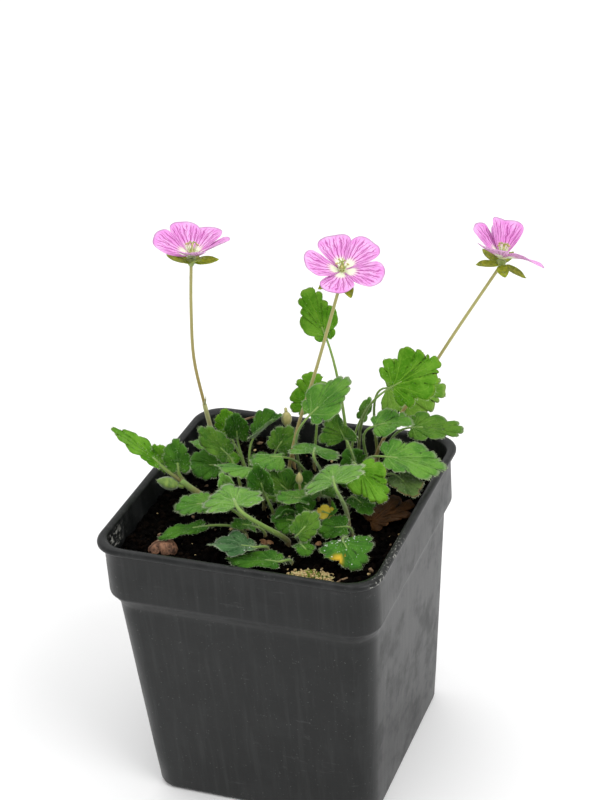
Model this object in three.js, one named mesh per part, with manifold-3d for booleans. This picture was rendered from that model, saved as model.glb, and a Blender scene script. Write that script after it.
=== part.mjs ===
// A potted storksbill: an alpine plant in a square black nursery pot.
// Millimetres, +Z up. The origin is the middle of the pot's flat underside.
// -Y is the pot's front, the side that is seen first, and +X is its right.
import * as THREE from "three";
import { mergeVertices } from "three/addons/utils/BufferGeometryUtils.js";
import Module from "manifold-3d";

const wasm = await Module();
wasm.setup();

// Driving dimensions of the pot
const RIM_WIDTH = 91;
const POT_HEIGHT = 95.8;
const CORNER_SHARE = 0.2; // corner radius as a share of the half width
const WALL = 1.1;
const LIP_OVERHANG = 1.6;
const LIP_HEIGHT = 2.4;
const BAND_HEIGHT = 18.8;
const SHOULDER_DROP = 3.8;
const SHOULDER_STEP = 2.1;
const WALL_TAPER = 0.062; // how far a wall comes in for each millimetre down
const FLOOR = 1.4;
const DRAIN_RADIUS = 3.5;
const CORNER_SEGMENTS = 4;

// Driving dimensions of the soil
const SOIL_LEVEL = 87.5;
const CLEARANCE = 0.3; // kept between pieces that touch
const HOLE_DEPTH = 4;

// Driving dimensions of the plant
const BLADE_THICKNESS = 0.7;
const PETIOLE_RADIUS = 0.62;
const PETAL_THICKNESS = 0.6;
const STALK_RADIUS = 0.54;
const FLOWER_LENGTHS = { petal: 12.6, petalWidth: 11.2, sepal: 8.4, sepalWidth: 3.2 };

const COLOURS = {
  pot: 0x2b2d2e,
  soil: 0x1d1712,
  leaf: 0x4e9127,
  stalk: 0xa29a4a,
  petal: 0xdd83d6,
  centre: 0xd6dc8a,
  bark: 0x8a5a41,
  moss: 0xa8b04a,
  deadLeaf: 0x6d3f1f,
  yellowLeaf: 0xc9b430,
};

const SLIVER = 0.1; // edges shorter than this, left by joining, are closed up
const UP = new THREE.Vector3(0, 0, 1);
const vector = (p) => new THREE.Vector3(p[0], p[1], p[2]);

// A seeded source of numbers from 0 to 1.
function seeded(seed) {
  let state = seed >>> 0;
  return () => {
    state = (state + 0x6d2b79f5) >>> 0;
    let t = state;
    t = Math.imul(t ^ (t >>> 15), t | 1);
    t ^= t + Math.imul(t ^ (t >>> 7), t | 61);
    return ((t ^ (t >>> 14)) >>> 0) / 4294967296;
  };
}

// Solids and geometries

function toSolid(geometry) {
  const bare = new THREE.BufferGeometry();
  bare.setAttribute("position", geometry.getAttribute("position"));
  if (geometry.index) bare.setIndex(geometry.index);
  const merged = mergeVertices(bare, 1e-4);
  const triVerts = new Uint32Array(merged.index.array);
  const vertProperties = new Float32Array(merged.attributes.position.array);
  const solid = new wasm.Manifold(new wasm.Mesh({ numProp: 3, vertProperties, triVerts }));
  if (solid.volume() > 0) return solid;
  for (let i = 0; i < triVerts.length; i += 3) {
    [triVerts[i + 1], triVerts[i + 2]] = [triVerts[i + 2], triVerts[i + 1]];
  }
  return new wasm.Manifold(new wasm.Mesh({ numProp: 3, vertProperties, triVerts }));
}

function toGeometry(solid) {
  const mesh = solid.getMesh();
  const positions = new Float32Array(mesh.numVert * 3);
  for (let i = 0; i < mesh.numVert; i++) {
    positions.set(mesh.vertProperties.subarray(i * mesh.numProp, i * mesh.numProp + 3), i * 3);
  }
  const geometry = new THREE.BufferGeometry();
  geometry.setAttribute("position", new THREE.BufferAttribute(positions, 3));
  geometry.setIndex(new THREE.BufferAttribute(new Uint32Array(mesh.triVerts), 1));
  return geometry;
}

const fuse = (geometries) => {
  const whole = geometries.map(toSolid).reduce((joined, piece) => joined.add(piece));
  return whole.simplify(SLIVER);
};

function namedMesh(name, geometry, colour, roughness = 0.7) {
  const material = new THREE.MeshStandardMaterial({ color: colour, roughness, metalness: 0 });
  const mesh = new THREE.Mesh(geometry, material);
  mesh.name = name;
  return mesh;
}

// Shapes shared by several pieces

// Points of a rounded square of half width 1, anticlockwise: each corner an arc of so many
// segments, each side cut into so many lengths.
function squareOutline(segments, lengths = 1) {
  const straight = 1 - CORNER_SHARE;
  const corner = [];
  for (let i = 0; i <= segments; i++) {
    const a = (i / segments) * (Math.PI / 2);
    corner.push([straight + CORNER_SHARE * Math.cos(a), straight + CORNER_SHARE * Math.sin(a)]);
  }
  for (let i = 1; i < lengths; i++) corner.push([straight * (1 - (2 * i) / lengths), 1]);
  const points = [];
  for (let quarter = 0; quarter < 4; quarter++) {
    const [c, s] = [Math.cos((quarter * Math.PI) / 2), Math.sin((quarter * Math.PI) / 2)];
    corner.forEach(([x, y]) => points.push([x * c - y * s, x * s + y * c]));
  }
  return points;
}

// A lathe whose round rings are squared off: profile holds [half width, height] pairs.
function squaredLathe(profile, outline) {
  const sides = outline.length;
  const points = profile.map(([half, height]) => new THREE.Vector2(half, height));
  const geometry = new THREE.LatheGeometry(points, sides);
  const position = geometry.getAttribute("position");
  for (let i = 0; i < position.count; i++) {
    const side = Math.floor(i / points.length) % sides;
    const { x: half, y: height } = points[i % points.length];
    position.setXYZ(i, half * outline[side][0], half * outline[side][1], height);
  }
  return geometry;
}

// A round tube along a curve, tapering from radius to radius * taper.
function taperedTube(curve, radius, { taper = 1, sides = 5, steps = 7 } = {}) {
  const section = new THREE.Shape();
  for (let i = 0; i < sides; i++) {
    const a = (i / sides) * 2 * Math.PI;
    section[i ? "lineTo" : "moveTo"](radius * Math.cos(a), radius * Math.sin(a));
  }
  const settings = { steps, curveSegments: 1, bevelEnabled: false, extrudePath: curve };
  const geometry = new THREE.ExtrudeGeometry(section, settings);
  const middles = curve.getSpacedPoints(steps);
  const position = geometry.getAttribute("position");
  const point = new THREE.Vector3();
  for (let i = 0; i < position.count; i++) {
    point.fromBufferAttribute(position, i);
    let nearest = 0;
    middles.forEach((m, s) => {
      if (m.distanceTo(point) < middles[nearest].distanceTo(point)) nearest = s;
    });
    const scale = 1 + (taper - 1) * (nearest / steps);
    point.sub(middles[nearest]).multiplyScalar(scale).add(middles[nearest]);
    position.setXYZ(i, point.x, point.y, point.z);
  }
  return geometry;
}

// A thin closed plate over a star-shaped outline. edge holds the outline's points, keys the
// indices of those that have a point of the middle ring behind them, and relief gives the
// height over (x, y), with reach 0 at the middle and 1 at the edge.
function plate({ middle, edge, keys, relief, thickness, ringReach = 0.58 }) {
  const surface = (p, reach) => {
    const x = middle.x + (p.x - middle.x) * reach;
    const y = middle.y + (p.y - middle.y) * reach;
    return new THREE.Vector3(x, y, relief(x, y, reach, p));
  };
  const points = [surface(middle, 0)];
  keys.forEach((k) => points.push(surface(edge[k], ringReach)));
  edge.forEach((p) => points.push(surface(p, 1)));
  const ring = (j) => 1 + (j % keys.length);
  const rim = (i) => 1 + keys.length + (i % edge.length);
  const faces = [];
  keys.forEach((from, j) => {
    const to = j + 1 < keys.length ? keys[j + 1] : keys[0] + edge.length;
    const half = Math.floor((from + to) / 2);
    faces.push([0, ring(j), ring(j + 1)]);
    for (let i = from; i < half; i++) faces.push([ring(j), rim(i), rim(i + 1)]);
    faces.push([ring(j), rim(half), ring(j + 1)]);
    for (let i = half; i < to; i++) faces.push([ring(j + 1), rim(i), rim(i + 1)]);
  });
  const normals = points.map(() => new THREE.Vector3());
  faces.forEach(([a, b, c]) => {
    const ab = points[b].clone().sub(points[a]);
    const normal = ab.cross(points[c].clone().sub(points[a]));
    [a, b, c].forEach((i) => normals[i].add(normal));
  });
  normals.forEach((n) => n.normalize());
  const count = points.length;
  const positions = [];
  [0.5, -0.5].forEach((side) => {
    points.forEach((p, i) => {
      const q = p.clone().addScaledVector(normals[i], side * thickness);
      positions.push(q.x, q.y, q.z);
    });
  });
  const triangles = [];
  faces.forEach(([a, b, c]) => triangles.push(a, b, c, count + a, count + c, count + b));
  edge.forEach((_, i) => {
    const [a, b] = [rim(i), rim(i + 1)];
    triangles.push(a, count + a, count + b, a, count + b, b);
  });
  const geometry = new THREE.BufferGeometry();
  geometry.setAttribute("position", new THREE.Float32BufferAttribute(positions, 3));
  geometry.setIndex(triangles);
  return geometry;
}

// The pot

const HALF = RIM_WIDTH / 2;
const BAND_HALF = HALF - LIP_OVERHANG;
const BAND_FOOT = POT_HEIGHT - BAND_HEIGHT;
const SHOULDER_FOOT = BAND_FOOT - SHOULDER_DROP;
const SHOULDER_HALF = BAND_HALF - SHOULDER_STEP;
const FOOT_HALF = SHOULDER_HALF - WALL_TAPER * SHOULDER_FOOT;

// Half width of the pot's inside at a height.
function insideHalf(height) {
  if (height >= BAND_FOOT) return BAND_HALF - WALL;
  if (height <= SHOULDER_FOOT) {
    return FOOT_HALF + WALL_TAPER * height - WALL;
  }
  const share = (height - SHOULDER_FOOT) / SHOULDER_DROP;
  return SHOULDER_HALF + share * SHOULDER_STEP - WALL;
}

function drainHoles() {
  const holes = [];
  const spread = FOOT_HALF * 0.62;
  for (let i = 0; i < 8; i++) {
    const a = (i / 8) * 2 * Math.PI;
    const reach = i % 2 ? spread * 1.3 : spread;
    const hole = new THREE.CylinderGeometry(DRAIN_RADIUS, DRAIN_RADIUS, FLOOR * 4, 8);
    hole.rotateX(Math.PI / 2);
    hole.translate(reach * Math.cos(a), reach * Math.sin(a), 0);
    holes.push(toSolid(hole));
  }
  return holes;
}

function makePot() {
  const profile = [
    [0, 0],
    [FOOT_HALF - 1, 0],
    [FOOT_HALF, 1],
    [SHOULDER_HALF, SHOULDER_FOOT],
    [BAND_HALF - 0.5, BAND_FOOT - 0.4],
    [BAND_HALF, BAND_FOOT + 1],
    [BAND_HALF, POT_HEIGHT - LIP_HEIGHT],
    [HALF - 0.4, POT_HEIGHT - LIP_HEIGHT + 0.3],
    [HALF, POT_HEIGHT - LIP_HEIGHT / 2],
    [HALF - 0.5, POT_HEIGHT - 0.2],
    [HALF - 1.2, POT_HEIGHT],
    [BAND_HALF - WALL + 0.3, POT_HEIGHT - 0.3],
    [BAND_HALF - WALL, POT_HEIGHT - 1.2],
    [insideHalf(BAND_FOOT), BAND_FOOT],
    [insideHalf(SHOULDER_FOOT), SHOULDER_FOOT],
    [insideHalf(FLOOR), FLOOR],
    [0, FLOOR],
  ];
  const outline = squareOutline(CORNER_SEGMENTS);
  let pot = toSolid(squaredLathe(profile, outline));
  drainHoles().forEach((hole) => {
    pot = pot.subtract(hole);
  });
  return namedMesh("pot", toGeometry(pot), COLOURS.pot, 0.45);
}

// The soil

// Height of the soil's surface: a slow swell, lower at the left, with crumbs.
function soilHeight(x, y) {
  const swell = 0.9 * Math.sin(x * 0.09 + 0.6) * Math.cos(y * 0.08 - 0.4);
  const slope = 0.022 * x - 0.01 * y;
  const crumbs = 0.45 * Math.sin(x * 0.83 + y * 0.31) * Math.cos(y * 0.71 - x * 0.27);
  return SOIL_LEVEL + swell + slope + crumbs;
}

const SOIL_RINGS = 5;
const SOIL_CORNER_SEGMENTS = 2;
const SOIL_SIDE_LENGTHS = 4;

function soilBody() {
  const outline = squareOutline(SOIL_CORNER_SEGMENTS, SOIL_SIDE_LENGTHS);
  const edgeHalf = insideHalf(SOIL_LEVEL) - CLEARANCE;
  const profile = [
    [0, FLOOR + CLEARANCE],
    [insideHalf(FLOOR) - CLEARANCE - 0.2, FLOOR + CLEARANCE],
    [insideHalf(SHOULDER_FOOT) - CLEARANCE - 0.1, SHOULDER_FOOT],
    [edgeHalf, BAND_FOOT + 0.4],
  ];
  for (let i = SOIL_RINGS; i >= 0; i--) profile.push([(edgeHalf * i) / SOIL_RINGS, SOIL_LEVEL]);
  const geometry = squaredLathe(profile, outline);
  const position = geometry.getAttribute("position");
  for (let i = 0; i < position.count; i++) {
    if (position.getZ(i) !== SOIL_LEVEL) continue;
    position.setZ(i, soilHeight(position.getX(i), position.getY(i)));
  }
  return toSolid(geometry);
}

const CRUMBS = 12;
const CRUMB_SEED = 11;

// Coarse crumbs of compost, sunk halfway into the surface.
function soilCrumbs() {
  const random = seeded(CRUMB_SEED);
  const crumbs = [];
  for (let i = 0; i < CRUMBS; i++) {
    const size = 0.9 + 1.1 * random();
    const reach = HALF - 8;
    const x = (2 * random() - 1) * reach;
    const y = (2 * random() - 1) * reach;
    const crumb = new THREE.IcosahedronGeometry(size, 0);
    crumb.rotateZ(random() * 3);
    crumb.rotateX(random() * 3);
    crumb.scale(1, 1, 0.75);
    crumb.translate(x, y, soilHeight(x, y));
    crumbs.push({ x, y, size, solid: toSolid(crumb) });
  }
  return crumbs;
}

// Leaves

const BLADE = {
  middle: 0.42, // where the outline's middle lies, as a share of the length
  backLobes: 0.12, // how far the two lobes at the base reach behind the joint
  lastLobe: 0.94 * Math.PI, // angle at which the lobes beside the notch end
  squareness: 0.86, // below 1, the outline is fuller than an ellipse
  creaseWidth: 0.08,
  scallopSteps: [0, 0.28, 0.72],
};

// A row of half circles of width 1: 0 in the clefts between them, 1 at their tops.
function rounded(along) {
  const t = along - Math.floor(along + 1e-9);
  return Math.sqrt(Math.max(0, 1 - (2 * t - 1) ** 2));
}

// The scalloped and lobed margin: u runs round it from 0 to 1, from one side of the notch at the
// joint to the other.
function bladePoint(u, spec) {
  const { length, width } = spec;
  const phi = BLADE.lastLobe * (2 * u - 1);
  const c = Math.cos(phi);
  const squared = (value) => Math.sign(value) * Math.abs(value) ** BLADE.squareness;
  const reach = c > 0 ? 1 - BLADE.middle : BLADE.middle + BLADE.backLobes;
  const x = length * (BLADE.middle + reach * squared(c));
  const y = (width / 2) * squared(Math.sin(phi)) * (1 - 0.12 * c);
  const edge = new THREE.Vector2(x, y);
  const rib = new THREE.Vector2(Math.min(Math.max(x, 0.25 * length), 0.8 * length), 0);
  const scallop = spec.depth * (1 - rounded(u * spec.lobes));
  const cleft = 0.5 * spec.cleft * Math.cos(2 * Math.PI * spec.majors * u);
  return edge.addScaledVector(rib.sub(edge).normalize(), (scallop + cleft) * width);
}

function bladeRelief(x, y, reach, spec) {
  const { length, width } = spec;
  const crease = BLADE.creaseWidth * width;
  const folded = Math.tan(THREE.MathUtils.degToRad(spec.fold)) * (Math.hypot(y, crease) - crease);
  const bowed = -spec.bow * length * (x / length) ** 2;
  const around = Math.atan2(y, x - BLADE.middle * length);
  const waved = spec.wave * reach ** 2 * Math.sin(3 * around + spec.phase);
  return folded + bowed + waved;
}

function leafBlade(spec) {
  const edge = [];
  const keys = [];
  for (let lobe = 0; lobe < spec.lobes; lobe++) {
    BLADE.scallopSteps.forEach((t) => {
      if (t === 0) keys.push(edge.length);
      edge.push(bladePoint((lobe + t) / spec.lobes, spec));
    });
  }
  keys.push(edge.length);
  edge.push(bladePoint(1, spec));
  edge.push(new THREE.Vector2(0.03 * spec.length, 0));
  const middle = new THREE.Vector2(BLADE.middle * spec.length, 0);
  const relief = (x, y, reach) => bladeRelief(x, y, reach, spec);
  return plate({ middle, edge, keys, relief, thickness: BLADE_THICKNESS });
}

// The turn that takes a blade's own axes (x to the tip, z out of its upper face) into place.
function bladeFrame(joint, tip, face) {
  const forward = tip.clone().sub(joint).normalize();
  const side = vector(face).cross(forward).normalize();
  const normal = forward.clone().cross(side);
  return new THREE.Matrix4().makeBasis(forward, side, normal).setPosition(joint);
}

const LEAF_DEFAULTS = {
  face: [0, 0, 1],
  fold: 8,
  bow: 0.12,
  wave: 0.5,
  phase: 0,
  depth: 0.08,
  cleft: 0.1,
  majors: 5,
  lobes: 7,
  radius: PETIOLE_RADIUS,
};

// A leaf stalk: straight out of its hole in the soil, then in one sweep to the blade.
function petioleCurve(foot, joint, forward, radius, rise = 0.4) {
  const ground = new THREE.Vector3(foot[0], foot[1], soilHeight(foot[0], foot[1]));
  const start = ground.clone().addScaledVector(UP, -HOLE_DEPTH + 0.5);
  const emerge = ground.clone().addScaledVector(UP, 0.8);
  const span = joint.clone().sub(emerge).length();
  const path = new THREE.CurvePath();
  path.add(new THREE.LineCurve3(start, emerge));
  const out = emerge.clone().addScaledVector(UP, rise * span);
  const approach = joint.clone().addScaledVector(forward, -0.3 * span);
  path.add(new THREE.CubicBezierCurve3(emerge, out, approach, joint));
  const samples = path.curves[1].getSpacedPoints(4);
  const midrib = joint.clone().addScaledVector(forward, 1.6);
  return new THREE.CatmullRomCurve3([start, emerge, ...samples.slice(1), midrib]);
}

function leafSolid(entry) {
  const spec = { ...LEAF_DEFAULTS, ...entry };
  const joint = vector(spec.joint);
  const tip = vector(spec.tip);
  const forward = tip.clone().sub(joint).normalize();
  spec.length = tip.distanceTo(joint);
  const blade = leafBlade(spec);
  blade.applyMatrix4(bladeFrame(joint, tip, spec.face));
  const curve = petioleCurve(spec.foot, joint, forward, spec.radius, spec.rise);
  const petiole = taperedTube(curve, spec.radius, { taper: 0.52, steps: 5 });
  return fuse([petiole, blade]);
}

// The leaves one by one: foot is where the stalk leaves the soil, joint where it meets the
// blade, tip the blade's far end, and face the way the upper side looks.
const VIEWER = [0.33, -0.8, 0.5];
const LEAVES = {
  left_1: { foot: [-19, 5], joint: [-25.5, 11, 94.5], tip: [-34, 5.5, 97], width: 11, face: [0, -0.5, 0.85] },
  left_2: { foot: [-17, 7], joint: [-22.5, 11, 99], tip: [-29, 7, 110], width: 10, face: [0.5, -0.5, 0.7] },
  left_3: { foot: [-17, 13], joint: [-22, 17, 102], tip: [-20, 13.5, 112], width: 8, face: [0.3, -0.9, 0.2] },
  left_4: { foot: [-21, 20], joint: [-26.5, 23, 99.5], tip: [-27.5, 22, 108], width: 8, face: [0.2, -0.8, 0.4] },
  left_5: { foot: [-27, 15], joint: [-31, 19, 96], tip: [-38, 18, 98.5], width: 6, lobes: 5 },
  left_6: { foot: [-23, 9], joint: [-25.8, 14.7, 94.6], tip: [-20.4, 16.7, 94.7], width: 5, face: [0.1, -0.4, 0.9], fold: 30, lobes: 5 },
  back_1: { foot: [-14, 9], joint: [-14.5, 16.5, 104], tip: [-7, 18.5, 112], width: 9, face: [-0.5, -0.3, 0.8], fold: 42 },
  back_2: { foot: [-6, 9], joint: [-5.5, 11.5, 103], tip: [-1, 13, 110.5], width: 9, face: [0.2, -0.8, 0.5] },
  back_3: { foot: [1, 26], joint: [1.0, 30.6, 108.4], tip: [-3.7, 29.4, 119.4], width: 14, face: VIEWER, lobes: 9, majors: 3, cleft: 0.3 },
  back_4: { foot: [1, 14], joint: [8.5, 4.7, 121.8], tip: [18.4, 11.2, 132.5], width: 13, face: [-0.1, -0.75, 0.6], wave: 1.0, majors: 3, cleft: 0.14 },
  back_5: { foot: [16.5, 17.5], joint: [9.5, 22, 139.7], tip: [4.9, 24.3, 155.1], width: 12.5, face: VIEWER, fold: 14, majors: 3, cleft: 0.3, depth: 0.1, radius: 0.72, rise: 0.15 },
  back_6: { foot: [15, 30], joint: [30, 23, 124], tip: [43, 27, 132], width: 17, face: VIEWER, lobes: 9, majors: 5, cleft: 0.12 },
  back_7: { foot: [19, 37], joint: [23, 40.7, 112], tip: [41.6, 37.7, 114], width: 15, face: VIEWER, lobes: 9, majors: 5, cleft: 0.14 },
  back_9: { foot: [11, 33], joint: [14, 37, 103], tip: [17, 38, 110], width: 4, face: VIEWER, fold: 30, lobes: 5 },
  mid_1: { foot: [-6.5, 0], joint: [-8, -2.5, 103.5], tip: [-19, -4.5, 105.5], width: 13, face: [-0.1, 0.3, 0.95], fold: -15, bow: 0.04 },
  mid_3: { foot: [-9, -9], joint: [-12.5, -11.3, 99.5], tip: [-14.5, -12, 106.5], width: 5, face: VIEWER, fold: 50, lobes: 5 },
  mid_4: { foot: [0, -7], joint: [-3, -7, 99], tip: [-4, -9, 109], width: 8, face: [0.3, -0.9, 0.2], fold: 40 },
  mid_5: { foot: [5, 11], joint: [-0.5, 3.5, 105.5], tip: [-8.5, -1, 107.5], width: 10, face: [0, -0.1, 1], fold: -24, bow: 0.2 },
  mid_6: { foot: [11, 11], joint: [11, 1.5, 110], tip: [9, 9.5, 109], width: 16, face: [0.05, 0.4, 0.9], fold: -14 },
  mid_7: { foot: [13.5, 6], joint: [13.5, -1, 97], tip: [14.5, -4, 105], width: 10, face: VIEWER, fold: 30 },
  mid_8: { foot: [8, 0], joint: [9.4, -4.5, 96.6], tip: [2.4, -9, 99.4], width: 9 },
  mid_9: { foot: [19.5, 15], joint: [19, 8.5, 112], tip: [16, 7.5, 120], width: 12, face: [-0.3, -0.75, 0.6], fold: 32, majors: 3, cleft: 0.2 },
  mid_10: { foot: [11, -10], joint: [8.5, -9.5, 91.5], tip: [1.5, -12.5, 93.5], width: 10, face: [0.1, -0.5, 0.9] },
  mid_11: { foot: [5, 2], joint: [2, 1, 95], tip: [-4, -1.5, 102], width: 12, face: [0.3, -0.85, 0.4] },
  mid_12: { foot: [18.5, -7.5], joint: [18.4, -5, 92.6], tip: [13.6, -5.6, 94], width: 5, face: [0.2, -0.7, 0.7], lobes: 5, colour: COLOURS.yellowLeaf },
  right_1: { foot: [21, 24], joint: [25, 19, 111.5], tip: [34.8, 23.5, 113.5], width: 9.5, face: [0, -0.25, 0.95], wave: 0.8, majors: 3, cleft: 0.2 },
  right_2: { foot: [24, 30], joint: [34.5, 27, 107.8], tip: [49.3, 29.8, 108.6], width: 9.5, face: [0.1, -0.35, 0.9], lobes: 9, majors: 5, cleft: 0.35 },
  right_3: { foot: [20, 20], joint: [31.5, 10, 106.5], tip: [48, 19, 101.5], width: 15, face: [0, -0.4, 0.9], lobes: 9, cleft: 0.06, depth: 0.05 },
  right_4: { foot: [20, 13], joint: [25, 2.5, 106], tip: [34.5, -3.5, 100], width: 11.5, face: [0.2, -0.6, 0.75], cleft: 0.1 },
  right_5: { foot: [25, 17], joint: [34.2, 12, 98.6], tip: [42.2, 5.4, 98.2], width: 10.5 },
  right_6: { foot: [23.5, -5], joint: [23, -13.5, 109.5], tip: [18.5, -4, 110.5], width: 19, face: [-0.4, 0.25, 0.87], fold: -10, lobes: 9, radius: 0.8 },
  right_7: { foot: [26, -9], joint: [25, -11, 93], tip: [17, -14, 93], width: 9, face: [0.1, -0.3, 0.95] },
  right_8: { foot: [27, -14], joint: [26.5, -20, 94], tip: [35, -30, 92], width: 16, lobes: 9, majors: 3, cleft: 0.2 },
  right_9: { foot: [20, 4], joint: [23, 2.5, 95], tip: [30, -2, 94], width: 8 },
  front_1: { foot: [8, -17], joint: [-4.5, -24.5, 104], tip: [-11.5, -15, 105.5], width: 18, face: [-0.25, 0.3, 0.92], fold: -12, lobes: 9, radius: 1.05 },
  front_2: { foot: [-7, -13], joint: [-18.5, -15, 97], tip: [-28.5, -18, 96.5], width: 9, face: [0, -0.3, 1] },
  front_3: { foot: [-5, -18], joint: [-18, -21, 92.4], tip: [-28, -31, 94.6], width: 9, face: [-0.1, -0.3, 1] },
  front_4: { foot: [4, -23], joint: [1, -28, 92.5], tip: [-12, -32, 95.5], width: 11, wave: 1.2 },
  front_5: { foot: [13, -27], joint: [10.4, -32.2, 91.5], tip: [-5, -33.2, 92.2], width: 10, fold: 4, lobes: 9 },
  front_6: { foot: [0, -15.5], joint: [-2.5, -18.4, 93.4], tip: [-7.5, -21.8, 96], width: 8 },
  front_7: { foot: [12, -16], joint: [13.5, -22, 95.2], tip: [18.5, -18, 101], width: 8, face: [0.2, -0.8, 0.5] },
  front_8: { foot: [15, -20], joint: [14.3, -22.5, 92.3], tip: [18.7, -26, 92], width: 6, lobes: 5 },
};

function makeLeaves() {
  const leaves = new THREE.Group();
  Object.entries(LEAVES).forEach(([place, entry], i) => {
    const solid = leafSolid({ phase: i * 1.7, ...entry });
    leaves.add(namedMesh(`leaf_${place}`, toGeometry(solid), entry.colour ?? COLOURS.leaf));
  });
  return leaves;
}

// Flowers

const PETAL = { middle: 0.6, edgePoints: 12, keyEvery: 3, start: 0.9, level: 1.6 };

function petalBlade(lift, curl) {
  const { petal: length, petalWidth: width } = FLOWER_LENGTHS;
  const edge = [];
  const keys = [];
  for (let i = 0; i < PETAL.edgePoints; i++) {
    const phi = (i / PETAL.edgePoints) * 2 * Math.PI;
    const c = Math.cos(phi);
    const reach = c > 0 ? 1 - PETAL.middle : PETAL.middle;
    const narrowing = c > 0 ? 1 - 0.08 * c : 1 + 0.55 * c;
    const dent = 1 - 0.05 * Math.exp(-((Math.sin(phi) / 0.3) ** 2)) * (c > 0 ? 1 : 0);
    const x = length * (PETAL.middle + reach * c * dent);
    if (i % PETAL.keyEvery === 0) keys.push(i);
    edge.push(new THREE.Vector2(x, (width / 2) * Math.sin(phi) * narrowing));
  }
  const middle = new THREE.Vector2(PETAL.middle * length, 0);
  const relief = (x, y) => 0.035 * y * y - curl * length * (x / length) ** 2;
  const blade = plate({ middle, edge, keys, relief, thickness: PETAL_THICKNESS });
  blade.rotateY(-THREE.MathUtils.degToRad(lift));
  blade.translate(PETAL.start, 0, PETAL.level);
  return blade;
}

function corolla({ turns, lifts, curls }) {
  const pieces = lifts.map((lift, i) => {
    const petal = petalBlade(lift, curls[i]);
    petal.rotateZ(THREE.MathUtils.degToRad(turns[i]));
    return petal;
  });
  const base = [
    [0, 1.15],
    [1.5, 1.15],
    [1.6, 1.7],
    [0, 1.9],
  ];
  const cup = new THREE.LatheGeometry(base.map(([r, h]) => new THREE.Vector2(r, h)), 10);
  cup.rotateX(Math.PI / 2);
  return toGeometry(fuse([cup, ...pieces]));
}

function sepalBlade(lift) {
  const { sepal: length, sepalWidth: width } = FLOWER_LENGTHS;
  const halfWidths = [
    [0, 0.3],
    [0.3, 0.5],
    [0.65, 0.42],
    [1, 0.06],
  ];
  const upper = halfWidths.map(([s, w]) => new THREE.Vector2(s * length, w * width));
  const lower = halfWidths.map(([s, w]) => new THREE.Vector2(s * length, -w * width)).reverse();
  const edge = [...lower.reverse(), ...upper.reverse()];
  const middle = new THREE.Vector2(0.45 * length, 0);
  const keys = [0, 2, 4, 6];
  const relief = (x, y) => 0.06 * y * y + 0.02 * x - 0.008 * x * x;
  const blade = plate({ middle, edge, keys, relief, thickness: PETAL_THICKNESS });
  blade.rotateY(-THREE.MathUtils.degToRad(lift));
  blade.translate(0.6, 0, 0.3);
  return blade;
}

function calyx(turn, lifts) {
  const profile = [
    [0, -1.9],
    [0.75, -1.7],
    [1.35, -0.4],
    [1.5, 0.55],
    [0, 0.8],
  ];
  const cup = new THREE.LatheGeometry(profile.map(([r, h]) => new THREE.Vector2(r, h)), 8);
  cup.rotateX(Math.PI / 2);
  const sepals = lifts.map((lift, i) => {
    const sepal = sepalBlade(lift);
    sepal.rotateZ(THREE.MathUtils.degToRad(turn + 72 * i + 36));
    return sepal;
  });
  return [cup, ...sepals];
}

// The column of the ovary and stigmas, with five stamens leaning out of its foot.
function flowerCentre() {
  const profile = [
    [0, 2.2],
    [0.75, 2.2],
    [0.9, 3.2],
    [0.4, 4.2],
    [0.55, 5.2],
    [0, 5.6],
  ];
  const column = new THREE.LatheGeometry(profile.map(([r, h]) => new THREE.Vector2(r, h)), 6);
  column.rotateX(Math.PI / 2);
  const pieces = [column];
  for (let i = 0; i < 5; i++) {
    const filament = new THREE.CylinderGeometry(0.2, 0.3, 2.6, 3);
    filament.rotateX(Math.PI / 2);
    filament.rotateY(0.3);
    filament.translate(1, 0, 4.2);
    const anther = new THREE.OctahedronGeometry(0.55);
    anther.scale(1.2, 0.7, 0.8);
    anther.translate(1.4, 0, 5.5);
    [filament, anther].forEach((piece) => {
      piece.rotateZ((i / 5) * 2 * Math.PI);
      pieces.push(piece);
    });
  }
  return toGeometry(fuse(pieces));
}

const FLOWERS = {
  left: {
    foot: [-32, 23],
    path: [
      [-32.5, 22, 100],
      [-33, 20, 111],
      [-36, 21, 127],
      [-36, 22, 145],
    ],
    top: [-33.5, 22, 161.8],
    axis: [0.05, 0.24, 0.92],
    turns: [7, 73, 135, 213, 289],
    lifts: [31, 38, 42, 23, 17],
    curls: [0.05, 0.08, 0.03, 0.06, 0.05],
    sepalTurn: -12,
    sepalLifts: [12, 8, 1, -2, -2],
  },
  middle: {
    foot: [-1.2, 7.6],
    path: [
      [-0.5, 8.5, 98.5],
      [2.85, 11, 113.6],
      [8.9, 14, 132.6],
    ],
    top: [19.1, 14.2, 165.3],
    axis: [0.16, -0.39, 0.91],
    turns: [354, 62, 122, 211, 279],
    lifts: [16, 12, 10, 36, 25],
    curls: [0.1, 0.06, 0.1, 0.05, 0.08],
    sepalTurn: -19,
    sepalLifts: [0, 0, 0, -2, -4],
  },
  right: {
    foot: [19.5, 32],
    path: [
      [20, 32.1, 92],
      [24, 33, 101],
      [33, 35.5, 115],
      [46, 39, 137],
    ],
    top: [59.5, 44, 159.6],
    axis: [0.11, 0.29, 0.92],
    turns: [345, 84, 130, 209, 261],
    lifts: [6, 43, 62, 45, 24],
    curls: [0.12, 0.02, 0.04, 0.05, 0.1],
    sepalTurn: -28,
    sepalLifts: [-20, 23, 20, -5, -17],
  },
};

function stalkCurve({ foot, path, top, axis }) {
  const ground = new THREE.Vector3(foot[0], foot[1], soilHeight(foot[0], foot[1]));
  const start = ground.clone().addScaledVector(UP, -HOLE_DEPTH + 0.5);
  const emerge = ground.clone().addScaledVector(UP, 0.8);
  const end = vector(top).addScaledVector(vector(axis).normalize(), -1);
  return new THREE.CatmullRomCurve3([start, emerge, ...path.map(vector), end]);
}

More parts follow.
